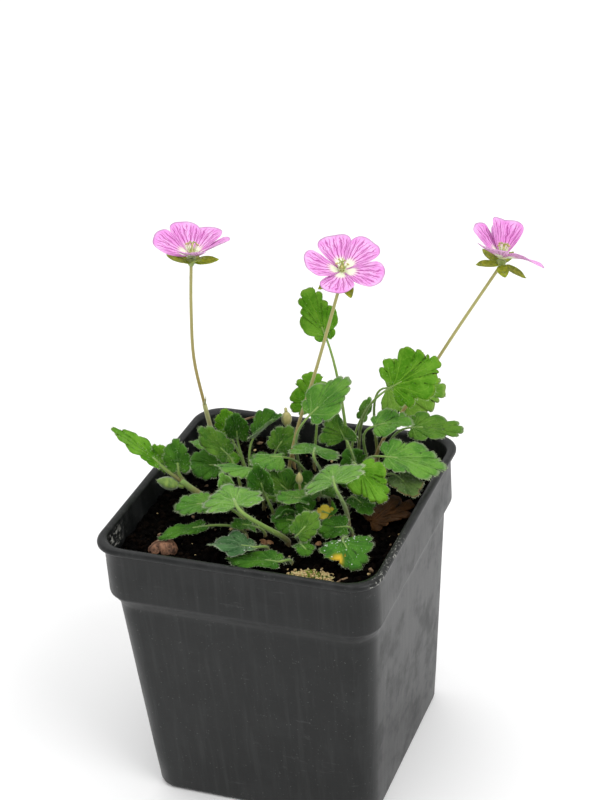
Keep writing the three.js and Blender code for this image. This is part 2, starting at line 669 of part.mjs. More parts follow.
function makeFlowers() {
  const flowers = new THREE.Group();
  Object.entries(FLOWERS).forEach(([place, flower]) => {
    const turned = new THREE.Quaternion().setFromUnitVectors(UP, vector(flower.axis).normalize());
    const stand = new THREE.Matrix4().makeRotationFromQuaternion(turned);
    stand.setPosition(vector(flower.top));
    const stalk = taperedTube(stalkCurve(flower), STALK_RADIUS, { sides: 5, steps: 9, taper: 0.85 });
    const head = calyx(flower.sepalTurn, flower.sepalLifts);
    head.forEach((piece) => piece.applyMatrix4(stand));
    const green = toGeometry(fuse([stalk, ...head]));
    flowers.add(namedMesh(`stalk_and_calyx_${place}`, green, COLOURS.stalk));
    const bloom = new THREE.Group();
    bloom.position.copy(vector(flower.top));
    bloom.quaternion.copy(turned);
    bloom.add(namedMesh(`corolla_${place}`, corolla(flower), COLOURS.petal, 0.6));
    bloom.add(namedMesh(`stamens_and_stigmas_${place}`, flowerCentre(), COLOURS.centre));
    flowers.add(bloom);
  });
  return flowers;
}

// The leafy side shoot at the left, with a flower bud low on it

const SHOOT = {
  foot: [-23, -2],
  stem: [
    [-26, -3.2, 91.5],
    [-29, -4.8, 95],
    [-31.5, -6, 98],
  ],
  radius: 1.15,
  leaves: [
    { joint: [-39, -6, 103], tip: [-55.5, -2.5, 110], width: 9, from: [-31, -5.8, 97.5] },
    { joint: [-35, -4.5, 101.5], tip: [-41, -4, 108], width: 7, from: [-31, -5, 97.5], face: [-0.3, -0.7, 0.5] },
    { joint: [-32, -5.5, 101.5], tip: [-33, -4, 111], width: 8.5, from: [-31, -5.6, 97.5], face: [0.2, -0.9, 0.3] },
  ],
  bud: { from: [-30.5, -6.2, 96], to: [-38.5, -8.5, 98.5], radius: 2.1, length: 7 },
};

function budSolid(from, to, radius, length, sides = 7) {
  const profile = [
    [0, 0],
    [0.62, 0.12],
    [1, 0.45],
    [0.75, 0.75],
    [0.25, 0.97],
    [0, 1],
  ];
  const points = profile.map(([r, h]) => new THREE.Vector2(r * radius, h * length));
  const bud = new THREE.LatheGeometry(points, sides);
  const position = bud.getAttribute("position");
  for (let i = 0; i < position.count; i++) {
    const around = Math.atan2(position.getZ(i), position.getX(i));
    const ribbed = 1 + 0.08 * Math.cos(5 * around);
    position.setX(i, position.getX(i) * ribbed);
    position.setZ(i, position.getZ(i) * ribbed);
  }
  const along = vector(to).sub(vector(from)).normalize();
  const turn = new THREE.Quaternion().setFromUnitVectors(new THREE.Vector3(0, 1, 0), along);
  bud.applyQuaternion(turn);
  const middle = vector(to).addScaledVector(along, -length);
  bud.translate(middle.x, middle.y, middle.z);
  return bud;
}

function makeShoot() {
  const ground = new THREE.Vector3(...SHOOT.foot, soilHeight(...SHOOT.foot));
  const start = ground.clone().addScaledVector(UP, -HOLE_DEPTH + 0.5);
  const emerge = ground.clone().addScaledVector(UP, 0.8);
  const path = new THREE.CatmullRomCurve3([start, emerge, ...SHOOT.stem.map(vector)]);
  const pieces = [taperedTube(path, SHOOT.radius, { sides: 6, steps: 5, taper: 0.85 })];
  SHOOT.leaves.forEach((leaf, i) => {
    const spec = { ...LEAF_DEFAULTS, phase: i * 2.1, ...leaf };
    const joint = vector(spec.joint);
    const tip = vector(spec.tip);
    const forward = tip.clone().sub(joint).normalize();
    spec.length = tip.distanceTo(joint);
    const from = vector(spec.from);
    const approach = joint.clone().addScaledVector(forward, -0.35 * joint.distanceTo(from));
    const midrib = joint.clone().addScaledVector(forward, 2.5);
    const curve = new THREE.CatmullRomCurve3([from, approach, joint, midrib]);
    const petiole = taperedTube(curve, 0.7, { taper: 0.6, steps: 4 });
    const blade = leafBlade(spec);
    blade.applyMatrix4(bladeFrame(joint, tip, spec.face));
    pieces.push(petiole, blade);
  });
  const { from, to, radius, length } = SHOOT.bud;
  const neck = new THREE.LineCurve3(vector(from), vector(to));
  pieces.push(taperedTube(neck, 0.75, { steps: 2 }));
  pieces.push(budSolid(from, to, radius, length));
  return namedMesh("leafy_shoot_left", toGeometry(fuse(pieces)), COLOURS.leaf);
}

// A nodding flower bud at the back

const NODDING_BUD = {
  foot: [-6, 26],
  path: [
    [-6.2, 25, 98],
    [-6.4, 24, 107],
    [-6, 22.5, 111.5],
    [-5.2, 20.8, 111.5],
  ],
  tip: [-4.6, 19.5, 106.5],
};

function makeNoddingBud() {
  const ground = new THREE.Vector3(...NODDING_BUD.foot, soilHeight(...NODDING_BUD.foot));
  const start = ground.clone().addScaledVector(UP, -HOLE_DEPTH + 0.5);
  const emerge = ground.clone().addScaledVector(UP, 0.8);
  const path = new THREE.CatmullRomCurve3([start, emerge, ...NODDING_BUD.path.map(vector)]);
  const stalk = taperedTube(path, 0.6, { steps: 10 });
  const bud = budSolid(NODDING_BUD.path[3], NODDING_BUD.tip, 1.7, 5.2, 7);
  return namedMesh("nodding_bud", toGeometry(fuse([stalk, bud])), COLOURS.stalk);
}

// What lies on the soil

const BARK = { at: [-27.5, -30.5], size: [4.6, 3.6, 2.9] };
const MOSS = { at: [21.4, -33.2], spread: [7.2, 4.2], cushions: 10, seed: 5 };

function barkGeometry(grow = 0) {
  const bark = new THREE.IcosahedronGeometry(1, 1);
  const position = bark.getAttribute("position");
  for (let i = 0; i < position.count; i++) {
    const [x, y, z] = [position.getX(i), position.getY(i), position.getZ(i)];
    const rough = 1 + 0.12 * Math.sin(3 * x + 2 * z) * Math.cos(4 * y + 1);
    position.setXYZ(i, x * rough, y * rough, z * rough);
  }
  bark.scale(...BARK.size.map((s) => s + grow));
  bark.rotateZ(0.4);
  bark.rotateY(-0.12);
  const [x, y] = BARK.at;
  bark.translate(x, y, soilHeight(x, y) + 0.6);
  return bark;
}

// One low cushion of moss: small rounded tufts crowded on a flat bed.
function mossSolid() {
  const random = seeded(MOSS.seed);
  const [cx, cy] = MOSS.at;
  const bed = new THREE.SphereGeometry(1, 12, 6);
  bed.rotateX(Math.PI / 2);
  bed.scale(MOSS.spread[0] + 0.6, MOSS.spread[1] + 0.6, 1.5);
  bed.translate(cx, cy, soilHeight(cx, cy) - 0.1);
  const tufts = [];
  for (let i = 0; i < MOSS.cushions; i++) {
    const a = i * 2.39996;
    const reach = Math.sqrt((i + 0.5) / MOSS.cushions);
    const x = cx + MOSS.spread[0] * reach * Math.cos(a);
    const y = cy + MOSS.spread[1] * reach * Math.sin(a);
    const tuft = new THREE.OctahedronGeometry(0.9 + 0.5 * random());
    tuft.rotateZ(random() * 2);
    tuft.translate(x, y, soilHeight(cx, cy) + 0.9 - 0.7 * reach + 0.3 * random());
    tufts.push(tuft);
  }
  return fuse([bed, ...tufts]);
}

const DEAD_LEAF = {
  joint: [29, -1, 89.3],
  tip: [39, 9.5, 90.1],
  width: 12,
  fold: 12,
  bow: -0.05,
  wave: 0.9,
  cleft: 0.25,
  depth: 0.2,
};

function makeDeadLeaf() {
  const spec = { ...LEAF_DEFAULTS, ...DEAD_LEAF };
  const joint = vector(spec.joint);
  const tip = vector(spec.tip);
  spec.length = joint.distanceTo(tip);
  const blade = leafBlade(spec);
  blade.applyMatrix4(bladeFrame(joint, tip, [0.05, -0.1, 1]));
  return namedMesh("dead_leaf", blade, COLOURS.deadLeaf, 0.9);
}

// A plain hole for each stalk, with what lies on the soil let into it.
function makeSoil(moss) {
  let soil = soilBody();
  const feet = [
    ...Object.values(LEAVES).map(({ foot, radius = PETIOLE_RADIUS }) => ({ foot, radius })),
    ...Object.values(FLOWERS).map(({ foot }) => ({ foot, radius: STALK_RADIUS })),
    { foot: SHOOT.foot, radius: SHOOT.radius },
    { foot: NODDING_BUD.foot, radius: 0.6 },
  ];
  const nearFoot = (crumb) =>
    feet.some(({ foot }) => Math.hypot(foot[0] - crumb.x, foot[1] - crumb.y) < crumb.size + 2.2);
  soilCrumbs().forEach((crumb) => {
    if (!nearFoot(crumb)) soil = soil.add(crumb.solid);
  });
  feet.forEach(({ foot, radius }) => {
    const wide = (radius + CLEARANCE) / Math.cos(Math.PI / 4) + 0.12;
    const hole = new THREE.CylinderGeometry(wide, wide, HOLE_DEPTH + 3, 4);
    hole.rotateX(Math.PI / 2);
    hole.translate(foot[0], foot[1], soilHeight(...foot) - HOLE_DEPTH + (HOLE_DEPTH + 3) / 2);
    soil = soil.subtract(toSolid(hole));
  });
  soil = soil.subtract(toSolid(barkGeometry(CLEARANCE + 0.1)));
  const [mx, my] = MOSS.at;
  const bedHole = new THREE.SphereGeometry(1, 12, 6);
  bedHole.rotateX(Math.PI / 2);
  bedHole.scale(MOSS.spread[0] + 2.1, MOSS.spread[1] + 2.1, 2.9);
  bedHole.translate(mx, my, soilHeight(mx, my) - 0.1);
  soil = soil.subtract(toSolid(bedHole));
  const pieces = soil.decompose();
  const largest = pieces.reduce((best, piece) => (piece.volume() > best.volume() ? piece : best));
  return namedMesh("soil", toGeometry(largest), COLOURS.soil, 0.95);
}

// The whole part

const potted = new THREE.Group();
const moss = mossSolid();
potted.add(makePot());
potted.add(makeSoil(moss));
potted.add(makeLeaves());
potted.add(makeShoot());
potted.add(makeNoddingBud());
potted.add(makeFlowers());
potted.add(namedMesh("bark_chip", barkGeometry(), COLOURS.bark, 0.85));
potted.add(namedMesh("moss", toGeometry(moss), COLOURS.moss, 0.9));
potted.add(makeDeadLeaf());

export default potted;
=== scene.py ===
"""The looks of a potted storksbill: a hairy, scalloped alpine in a square black nursery pot.

Shapes are worked out in millimetres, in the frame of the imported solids, and become metres when a
piece is made.
"""
import random
from math import atan2, copysign, cos, exp, hypot, pi, radians, sin, sqrt, tan

import bmesh
import bpy
from mathutils import Matrix, Vector, geometry, noise


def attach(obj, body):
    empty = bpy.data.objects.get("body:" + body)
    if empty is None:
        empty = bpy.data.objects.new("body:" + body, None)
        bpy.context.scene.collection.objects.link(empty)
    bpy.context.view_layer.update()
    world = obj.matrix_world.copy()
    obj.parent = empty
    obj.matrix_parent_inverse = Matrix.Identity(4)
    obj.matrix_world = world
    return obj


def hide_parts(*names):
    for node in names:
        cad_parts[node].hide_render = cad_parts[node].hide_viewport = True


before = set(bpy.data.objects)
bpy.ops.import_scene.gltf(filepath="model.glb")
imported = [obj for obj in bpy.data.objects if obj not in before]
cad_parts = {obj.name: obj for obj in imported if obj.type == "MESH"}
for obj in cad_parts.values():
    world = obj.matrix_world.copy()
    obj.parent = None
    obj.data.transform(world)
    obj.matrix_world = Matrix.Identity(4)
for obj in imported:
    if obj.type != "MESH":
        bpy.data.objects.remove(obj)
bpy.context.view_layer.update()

# The places that noise_vector() looks up are offset by this seed, not by the time.
noise.seed_set(1)

MM = 0.001
UP = Vector((0, 0, 1))
EVEN = (1, 1, 1)

# The pot and its soil, as in the solids

RIM_HALF = 45.5
POT_HEIGHT = 95.8
CORNER_SHARE = 0.2
WALL = 1.1
BAND_HALF = 43.9
BAND_FOOT = 77
SHOULDER_FOOT = 73.2
SHOULDER_HALF = 41.8
WALL_TAPER = 0.062
FOOT_HALF = SHOULDER_HALF - WALL_TAPER * SHOULDER_FOOT
SOIL_LEVEL = 87.5
ROOT_DEPTH = 3.5


def soil_height(x, y):
    swell = 0.9 * sin(x * 0.09 + 0.6) * cos(y * 0.08 - 0.4)
    slope = 0.022 * x - 0.01 * y
    crumbs = 0.45 * sin(x * 0.83 + y * 0.31) * cos(y * 0.71 - x * 0.27)
    return SOIL_LEVEL + swell + slope + crumbs


# Finishes


def operator(operation, swapped=False):
    """A method that does shader maths on a shade, and on another value if there is one."""

    def apply(self, *others):
        values = (*others, self) if swapped else (self, *others)
        return self.finish.node("Math", {"operation": operation}, dict(enumerate(values)))

    return apply


class Shade:
    """One socket of a finish, so that shader maths reads as an expression."""

    __add__ = __radd__ = operator("ADD")
    __sub__ = operator("SUBTRACT")
    __rsub__ = operator("SUBTRACT", swapped=True)
    __mul__ = __rmul__ = operator("MULTIPLY")
    __abs__ = operator("ABSOLUTE")
    fraction = operator("FRACT")
    most = operator("MAXIMUM")

    def __init__(self, finish, socket):
        self.finish, self.socket = finish, socket

    def rise(self, start, end):
        """0 below start, 1 above end, and smooth between them; start may be the larger."""
        settings = {"interpolation_type": "SMOOTHSTEP"}
        inputs = {"Value": self, "From Min": start, "From Max": end}
        return self.finish.node("MapRange", settings, inputs)


class Finish:
    """A material in the making."""

    def __init__(self, name, **constants):
        self.material = bpy.data.materials.new(name)
        self.material.use_nodes = True
        self.tree = self.material.node_tree
        self.tree.nodes.clear()
        out = self.tree.nodes.new("ShaderNodeOutputMaterial")
        self.shader = self.tree.nodes.new("ShaderNodeBsdfPrincipled")
        self.tree.links.new(self.shader.outputs[0], out.inputs["Surface"])
        for socket, value in constants.items():
            self.shader.inputs[socket.replace("_", " ")].default_value = value

    def node(self, kind, settings=(), inputs=(), output=0):
        made = self.tree.nodes.new("ShaderNode" + kind)
        for name, value in dict(settings).items():
            setattr(made, name, value)
        for name, value in dict(inputs).items():
            if isinstance(value, Shade):
                self.tree.links.new(value.socket, made.inputs[name])
            else:
                made.inputs[name].default_value = value
        return Shade(self, made.outputs[output])

    def place(self):
        return self.node("TexCoord", output="Object")

    def across_and_along(self):
        """The two numbers of the piece's own UV map."""
        uv = self.node("UVMap", {"uv_map": "UVMap"})
        return [self.node("SeparateXYZ", {}, {"Vector": uv}, output=i) for i in (0, 1)]

    def axis(self, index):
        """One coordinate in the piece's frame, in millimetres."""
        split = self.node("SeparateXYZ", {}, {"Vector": self.place()}, output=index)
        return split * (1 / MM)

    def grain(self, per_mm, detail=3.0, roughness=0.55, stretch=EVEN):
        """Noise with so many lumps to the millimetre."""
        scaled = self.node("Mapping", {}, {"Vector": self.place(), "Scale": stretch})
        inputs = {"Vector": scaled, "Scale": per_mm / MM, "Detail": detail, "Roughness": roughness}
        return self.node("TexNoise", {}, inputs)

    def mix(self, factor, first, second):
        """One colour where factor is 0 and another where it is 1."""
        first, second = [rgb(*c) if isinstance(c, tuple) else c for c in (first, second)]
        inputs = {0: factor, 6: first, 7: second}
        return self.node("Mix", {"data_type": "RGBA"}, inputs, output=2)

    def relief(self, height, depth_mm, strength=1.0):
        inputs = {"Height": height, "Distance": depth_mm * MM, "Strength": strength}
        self.link("Normal", self.node("Bump", {}, inputs))

    def link(self, socket, shade):
        self.tree.links.new(shade.socket, self.shader.inputs[socket])


def rgb(red, green, blue):
    return (red, green, blue, 1.0)


def black_plastic():
    """Moulded nursery plastic: satin and dusty, with scuffs and lime, and upright ribs whose glints
    are painted in as lighter streaks.
    """
    f = Finish("black nursery plastic", Specular_IOR_Level=0.3)
    right, back, height = [f.axis(i) for i in range(3)]
    dust = f.grain(0.09, 5.0, 0.65).rise(0.45, 0.75)
    specks = f.grain(1.3, 2.0, 0.5).rise(0.68, 0.74)
    # Upright ribs: real in the relief and the roughness; their lighter streaks in the colour are a
    # painted reflection.
    ribs_and_glints = f.grain(0.5, 3.0, 0.55, stretch=(1, 1, 0.05))
    scuffs = f.grain(0.35, 4.0, 0.7, stretch=(0.25, 1, 1)).rise(0.62, 0.72)
    # Lime lies on the front half of the left wall's inside, and splashes on the lip at the right.
    inner = height.rise(SOIL_LEVEL, SOIL_LEVEL + 1) * height.rise(95.0, 93.5)
    left_wall = right.rise(-41.0, -42.0) * right.rise(-43.6, -43.3) * back.rise(-22, -36)
    lip = height.rise(93.5, 94.5) * right.rise(42.5, 43.5) * back.rise(-10, -25)
    lime = f.grain(0.6, 5.0, 0.75).rise(0.52, 0.58) * inner * left_wall
    splash = f.grain(1.2, 4.0, 0.7).rise(0.56, 0.62) * lip
    base = f.mix(dust, (0.0045, 0.0052, 0.0052), (0.0125, 0.0135, 0.0135))
    # Painted reflection: a lighter grey along the ribs.
    base = f.mix(ribs_and_glints.rise(0.45, 0.75) * 0.35, base, (0.030, 0.031, 0.031))
    base = f.mix(specks * 0.35, base, (0.12, 0.12, 0.115))
    base = f.mix(scuffs * 0.15, base, (0.10, 0.10, 0.10))
    base = f.mix((lime * 0.8).most(splash * 0.7), base, (0.42, 0.42, 0.38))
    f.link("Base Color", base)
    f.link("Roughness", 0.32 + 0.16 * dust + 0.10 * ribs_and_glints + 0.2 * lime)
    f.relief(ribs_and_glints * 0.8 + f.grain(1.6, 3.0) * 0.3, 0.12, 0.4)
    return f.material


def compost(name, dark, light, per_mm):
    f = Finish(name, Specular_IOR_Level=0.03)
    patch = f.grain(per_mm, 6.0, 0.7)
    f.link("Base Color", f.mix(patch.rise(0.38, 0.68), dark, light))
    f.link("Roughness", 0.95 - 0.35 * f.grain(0.3, 2.0).rise(0.5, 0.7))
    f.relief(f.grain(2.4, 6.0, 0.75), 0.5, 0.8)
    return f.material


def leaf_face(name, deep, fresh, vein, margin, sheen=0.05, turned=None):
    """The upper side: puckered and downy, with a faint vein to each lobe and finer ones between.

    turned gives the stretch of the margin, counted in lobes, that has gone yellow.
    """
    f = Finish(
        name + " leaf face",
        Sheen_Weight=sheen,
        Sheen_Roughness=0.5,
        Sheen_Tint=rgb(0.85, 1.0, 0.75),
        Specular_IOR_Level=0.12,
    )
    around, out = f.across_and_along()
    wobble = f.grain(0.35, 2.0) * 0.3 - 0.15
    beside = abs((around + wobble).fraction() - 0.5)
    main = (beside * out).rise(0.05, 0.006) * out.rise(1.0, 0.55)
    fork = abs((out * 4.6 - beside * 3.4 + wobble * 3).fraction() - 0.5)
    side = fork.rise(0.12, 0.02) * beside.rise(0.02, 0.08) * out.rise(0.15, 0.4)
    patch = f.grain(0.16, 3.0, 0.6).rise(0.34, 0.66)
    fine = f.grain(1.5, 3.0, 0.6).rise(0.35, 0.7)
    colour = f.mix(patch * 0.75 + fine * 0.25, deep, fresh)
    colour = f.mix((main * 0.4).most(side * 0.2), colour, vein)
    colour = f.mix(out.rise(0.93, 1.0) * 0.75, colour, margin)
    if turned:
        start, end = turned
        stretch = around.rise(start, start + 0.7) * around.rise(end, end - 0.7)
        colour = f.mix(stretch * out.rise(0.55, 0.85), colour, (0.66, 0.42, 0.03))
    f.link("Base Color", colour)
    f.link("Roughness", 0.66 - 0.1 * patch)
    pucker = f.grain(0.55, 2.0, 0.5) * 0.6 + f.grain(2.0, 2.0, 0.5) * 0.12
    f.relief(pucker - main * 0.45 - side * 0.2, 0.55, 0.7)
    return f.material


def plain_green(name, low, high, sheen, per_mm=0.6, stretch=(1, 1, 0.25)):
    """A downy green, streaked upwards unless stretch says otherwise."""
    f = Finish(name, Sheen_Weight=sheen, Sheen_Roughness=0.5, Specular_IOR_Level=0.4)
    streak = f.grain(per_mm, 3.0, 0.6, stretch=stretch)
    f.link("Base Color", f.mix(streak.rise(0.3, 0.7), low, high))
    f.link("Roughness", 0.5 + 0.15 * streak)
    f.relief(streak, 0.12, 0.5)
    return f.material


def stalk_colours(name, foot, middle, top):
    """A stalk whose colour runs from its foot to its top, along its own UV map."""
    f = Finish(name, Sheen_Weight=0.3, Specular_IOR_Level=0.4)
    _, along = f.across_and_along()
    streak = f.grain(0.8, 3.0, 0.6, stretch=(1, 1, 0.2))
    lower = f.mix(along.rise(0.0, 0.45), foot, middle)
    colour = f.mix(along.rise(0.45, 0.9), lower, top)
    f.link("Base Color", f.mix(streak.rise(0.5, 0.8) * 0.35, colour, (0.30, 0.34, 0.10)))
    f.link("Roughness", 0.45 + 0.2 * streak)
    f.relief(streak, 0.1, 0.5)
    return f.material


def petal_face(name, pink, light, vein):
    """Pink, near white at the claw, with dark branching veins."""
    f = Finish(
        name,
        Sheen_Weight=0.1,
        Specular_IOR_Level=0.2,
        Subsurface_Weight=0.12,
        Subsurface_Radius=(0.6, 0.3, 0.5),
        Subsurface_Scale=1.2 * MM,
    )
    across, along = f.across_and_along()
    wobble = f.grain(0.5, 2.0) * 0.07 - 0.035
    shifted = across + wobble
    main = (abs((shifted * 13).fraction() - 0.5) * along).rise(0.085, 0.02)
    main = main * along.rise(0.22, 0.36) * along.rise(0.99, 0.8)
    forks = (abs((shifted * 26 + along * 1.6).fraction() - 0.5) * along).rise(0.15, 0.03)
    forks = forks * along.rise(0.42, 0.6) * along.rise(0.98, 0.85)
    tint = f.mix(f.grain(0.3, 3.0).rise(0.35, 0.7), pink, light)
    colour = f.mix(along.rise(0.42, 0.2), tint, (0.86, 0.89, 0.70))
    colour = f.mix((main * 0.95).most(forks * 0.7), colour, vein)
    f.link("Base Color", colour)
    f.link("Roughness", 0.5 + 0.1 * f.grain(1.0))
    f.relief(f.grain(1.2, 3.0) * 0.3 - main * 0.7 - forks * 0.3, 0.18, 0.7)
    return f.material


def speckled(name, dark, light, per_mm, depth, roughness=0.8, sheen=0.0):
    f = Finish(name, Sheen_Weight=sheen, Specular_IOR_Level=0.3)
    grain = f.grain(per_mm, 5.0, 0.7)
    f.link("Base Color", f.mix(grain.rise(0.35, 0.65), dark, light))
    f.link("Roughness", roughness - 0.15 * grain)
    f.relief(grain, depth, 0.8)
    return f.material


def white_down():
    """The fine pale hairs of leaves and stalks."""
    f = Finish("white down", Sheen_Weight=0.2, Roughness=0.6, Specular_IOR_Level=0.3)
    shade = f.grain(0.5).rise(0.3, 0.7)
    f.link("Base Color", f.mix(shade, (0.30, 0.44, 0.16), (0.66, 0.74, 0.50)))
    return f.material


PLASTIC = black_plastic()
COMPOST = compost("dark compost", (0.0005, 0.0004, 0.0003), (0.0030, 0.0020, 0.0014), 0.9)
PEAT = compost("peat crumb", (0.0010, 0.0007, 0.0005), (0.0090, 0.0050, 0.0028), 1.5)
GRIT = speckled("tan grit", (0.26, 0.17, 0.06), (0.62, 0.48, 0.24), 1.2, 0.2)
BARK = speckled("reddish bark", (0.030, 0.013, 0.007), (0.30, 0.15, 0.085), 0.45, 0.8)
DOWN = white_down()

# Each tone's darker and lighter green, the green of its veins and that of its margin.
LEAF_TONES = {
    "fresh": [(0.05, 0.19, 0.001), (0.14, 0.33, 0.022), (0.22, 0.44, 0.035), (0.24, 0.45, 0.04)],
    # deep: a darker copy of the leaf green, which paints the shade on leaves low in the tuft.
    "deep": [(0.019, 0.088, 0.004), (0.058, 0.178, 0.009), (0.1, 0.25, 0.04), (0.12, 0.27, 0.06)],
    "grey": [(0.045, 0.165, 0.014), (0.13, 0.3, 0.036), (0.22, 0.39, 0.09), (0.37, 0.51, 0.24)],
    "patchy": [(0.03, 0.12, 0.008), (0.105, 0.23, 0.02), (0.17, 0.31, 0.05), (0.3, 0.42, 0.18)],
    "felted": [(0.075, 0.22, 0.02), (0.19, 0.38, 0.06), (0.28, 0.46, 0.13), (0.6, 0.72, 0.48)],
    "frosted": [(0.02, 0.08, 0.02), (0.08, 0.185, 0.065), (0.18, 0.3, 0.15), (0.52, 0.62, 0.46)],
    # patched: its darker greens also paint the shade between the leaves; its yellowed stretch is
    # real.
    "patched": [(0.018, 0.095, 0.006), (0.06, 0.2, 0.014), (0.12, 0.28, 0.04), (0.18, 0.35, 0.08)],
    "pale": [(0.1, 0.25, 0.02), (0.21, 0.4, 0.045), (0.28, 0.46, 0.09), (0.34, 0.5, 0.12)],
    "dull": [(0.045, 0.095, 0.02), (0.1, 0.17, 0.04), (0.15, 0.22, 0.07), (0.24, 0.13, 0.07)],
    "yellow": [(0.42, 0.33, 0.02), (0.66, 0.52, 0.05), (0.7, 0.6, 0.15), (0.55, 0.45, 0.12)],
    "dead": [(0.006, 0.003, 0.0015), (0.06, 0.024, 0.005), (0.1, 0.04, 0.01), (0.09, 0.035, 0.01)],
}
LEAF_SHEENS = {"fresh": 0, "deep": 0.02, "grey": 0.08, "felted": 0.15, "frosted": 0.1, "dead": 0}
LEAF_FACES = {}
for tone, greens in LEAF_TONES.items():
    turned = (2.35, 3.9) if tone == "patched" else None
    LEAF_FACES[tone] = leaf_face(tone, *greens, LEAF_SHEENS.get(tone, 0.05), turned)
LEAF_BACK = plain_green("leaf back", (0.10, 0.25, 0.035), (0.20, 0.38, 0.09), 0.3, 0.5, EVEN)
LEAF_STALK = stalk_colours("leaf stalk", (0.17, 0.1, 0.04), (0.15, 0.26, 0.035), (0.2, 0.335, 0.06))
RED_STEM = stalk_colours("reddish stem", (0.22, 0.10, 0.06), (0.30, 0.24, 0.08), (0.20, 0.34, 0.07))
FLOWER_STALK = stalk_colours(
    "flower stalk", (0.30, 0.13, 0.06), (0.34, 0.25, 0.075), (0.40, 0.37, 0.13)
)
SHEATH = plain_green("pale sheath", (0.32, 0.34, 0.12), (0.48, 0.46, 0.20), 0.4)
PETAL_FACE = petal_face("petal face", (0.76, 0.29, 0.68), (0.84, 0.45, 0.79), (0.40, 0.06, 0.30))
PETAL_BACK = petal_face("petal back", (0.78, 0.36, 0.70), (0.85, 0.50, 0.80), (0.44, 0.10, 0.34))
SEPAL = plain_green("sepal", (0.16, 0.22, 0.002), (0.33, 0.40, 0.012), 0.0, 0.9, EVEN)
SEPAL_CUP = plain_green("sepal cup", (0.22, 0.32, 0.06), (0.38, 0.45, 0.15), 0.3)
FILAMENT = plain_green("filament", (0.55, 0.60, 0.28), (0.72, 0.75, 0.50), 0.1)
ANTHER = speckled("anther", (0.40, 0.36, 0.10), (0.66, 0.60, 0.26), 2.5, 0.1)
STIGMA = plain_green("stigma", (0.28, 0.36, 0.05), (0.42, 0.48, 0.12), 0.1)
BUD = plain_green("bud", (0.07, 0.16, 0.015), (0.21, 0.32, 0.05), 0.5, 0.8, (1, 1, 0.4))
YELLOW_BUD = plain_green("yellow bud", (0.31, 0.29, 0.08), (0.52, 0.46, 0.19), 0.3)
MOSS = speckled("moss", (0.03, 0.08, 0.004), (0.30, 0.38, 0.03), 1.0, 0.3, 0.85, 0.1)
SCALE = speckled("papery scale", (0.16, 0.075, 0.03), (0.40, 0.22, 0.10), 0.9, 0.2)
TWIG = speckled("twig", (0.10, 0.06, 0.03), (0.30, 0.20, 0.11), 1.0, 0.2)
# Water drops: real drops, whose pale base colour paints in the glints that clear water would show.
DEW = Finish("dew", Base_Color=rgb(0.75, 0.8, 0.75), Roughness=0.05, Specular_IOR_Level=0.9)


# Working shapes


def spin(axis, angle):
    return Matrix.Rotation(angle, 4, axis)


def sheet(bm, columns, rows, place, finish=0, flip=False, pattern=None):
    """A grid laid over the surface place(u, v), for u and v from 0 to 1, its seams closed.

    pattern gives the UV of a place, where that isn't u and v, and finish may be a function of v.
    """
    uv = bm.loops.layers.uv.get("UVMap") or bm.loops.layers.uv.new("UVMap")
    first = len(bm.faces)
    made = bmesh.ops.create_grid(bm, x_segments=columns, y_segments=rows, size=0.5)["verts"]
    where = {vert: (vert.co.x + 0.5, vert.co.y + 0.5) for vert in made}
    bm.faces.ensure_lookup_table()
    faces = bm.faces[first:]
    for face in faces:
        face.smooth = True
        middle = sum(where[vert][1] for vert in face.verts) / len(face.verts)
        face.material_index = finish(middle) if callable(finish) else finish
        for loop in face.loops:
            loop[uv].uv = pattern(*where[loop.vert]) if pattern else where[loop.vert]
    for vert, (u, v) in where.items():
        vert.co = place(u, v)
    if flip:
        bmesh.ops.reverse_faces(bm, faces=faces)
    bmesh.ops.remove_doubles(bm, verts=made, dist=1e-4)
    bm.faces.ensure_lookup_table()
    return bm.faces[first:]


def runs_along(path):
    """A point, side and up for each step of a path, turning as little as it can."""
    stations = []
    side = None
    for i, point in enumerate(path):
        ahead = (path[min(i + 1, len(path) - 1)] - path[max(i - 1, 0)]).normalized()
        if side is None:
            side = ahead.orthogonal().normalized()
        side = (side - ahead * side.dot(ahead)).normalized()
        stations.append((point, side, ahead.cross(side)))
    return stations


def tube(bm, path, radius, sides=8, finish=0):
    """A closed round tube; radius gives its thickness for v from 0 to 1 along it."""
    path = [path[0], *path, path[-1]]
    stations = runs_along(path[1:-1])
    stations = [stations[0], *stations, stations[-1]]
    last = len(path) - 1

    def place(u, v):
        step = round(v * last)
        point, side, up = stations[step]
        reach = 0 if step in (0, last) else radius(min(max((step - 1) / (last - 2), 0), 1))
        turn = 2 * pi * u
        return point + (side * cos(turn) + up * sin(turn)) * reach

    return sheet(bm, sides, last, place, finish)


def lathe(bm, profile, matrix, sides=12, finish=0, ribs=0, depth=0.0):
    """Turns a profile of (radius, height) about the matrix's own Z."""
    last = len(profile) - 1

    def place(u, v):
        reach, height = profile[round(v * last)]
        turn = 2 * pi * u
        reach *= 1 + depth * cos(ribs * turn)
        return matrix @ Vector((reach * cos(turn), reach * sin(turn), height))

    return sheet(bm, sides, last, place, finish)


def bend(start, leave, arrive, end, steps=10):
    return list(geometry.interpolate_bezier(start, leave, arrive, end, steps + 1))


def through(points, steps=5):
    """A smooth path through the points."""
    points = [Vector(p) for p in points]
    padded = [points[0], *points, points[-1]]
    path = [points[0]]
    for before, a, b, after in zip(padded, padded[1:], padded[2:], padded[3:]):
        path += bend(a, a + (b - before) / 6, b - (after - a) / 6, b, steps)[1:]
    return path


def blade(bm, columns, rows, surface, thickness, lobes=1, front=0, back=1):
    """A thin closed blade that fans out from its foot: surface(u, v) gives a place and its up."""

    def out(v):
        return 1 - abs(2 * v - 1)

    def place(u, v):
        point, up = surface(u, out(v))
        fade = min(1, 7 * (1 - out(v)), 9 * out(v), 12 * sin(pi * u))
        return point + up * (0.5 * thickness * max(fade, 0) * (1 if v <= 0.5 else -1))

    def side(v):
        return front if v < 0.5 else back

    return sheet(bm, columns, 2 * rows, place, side, True, lambda u, v: (u * lobes, out(v)))


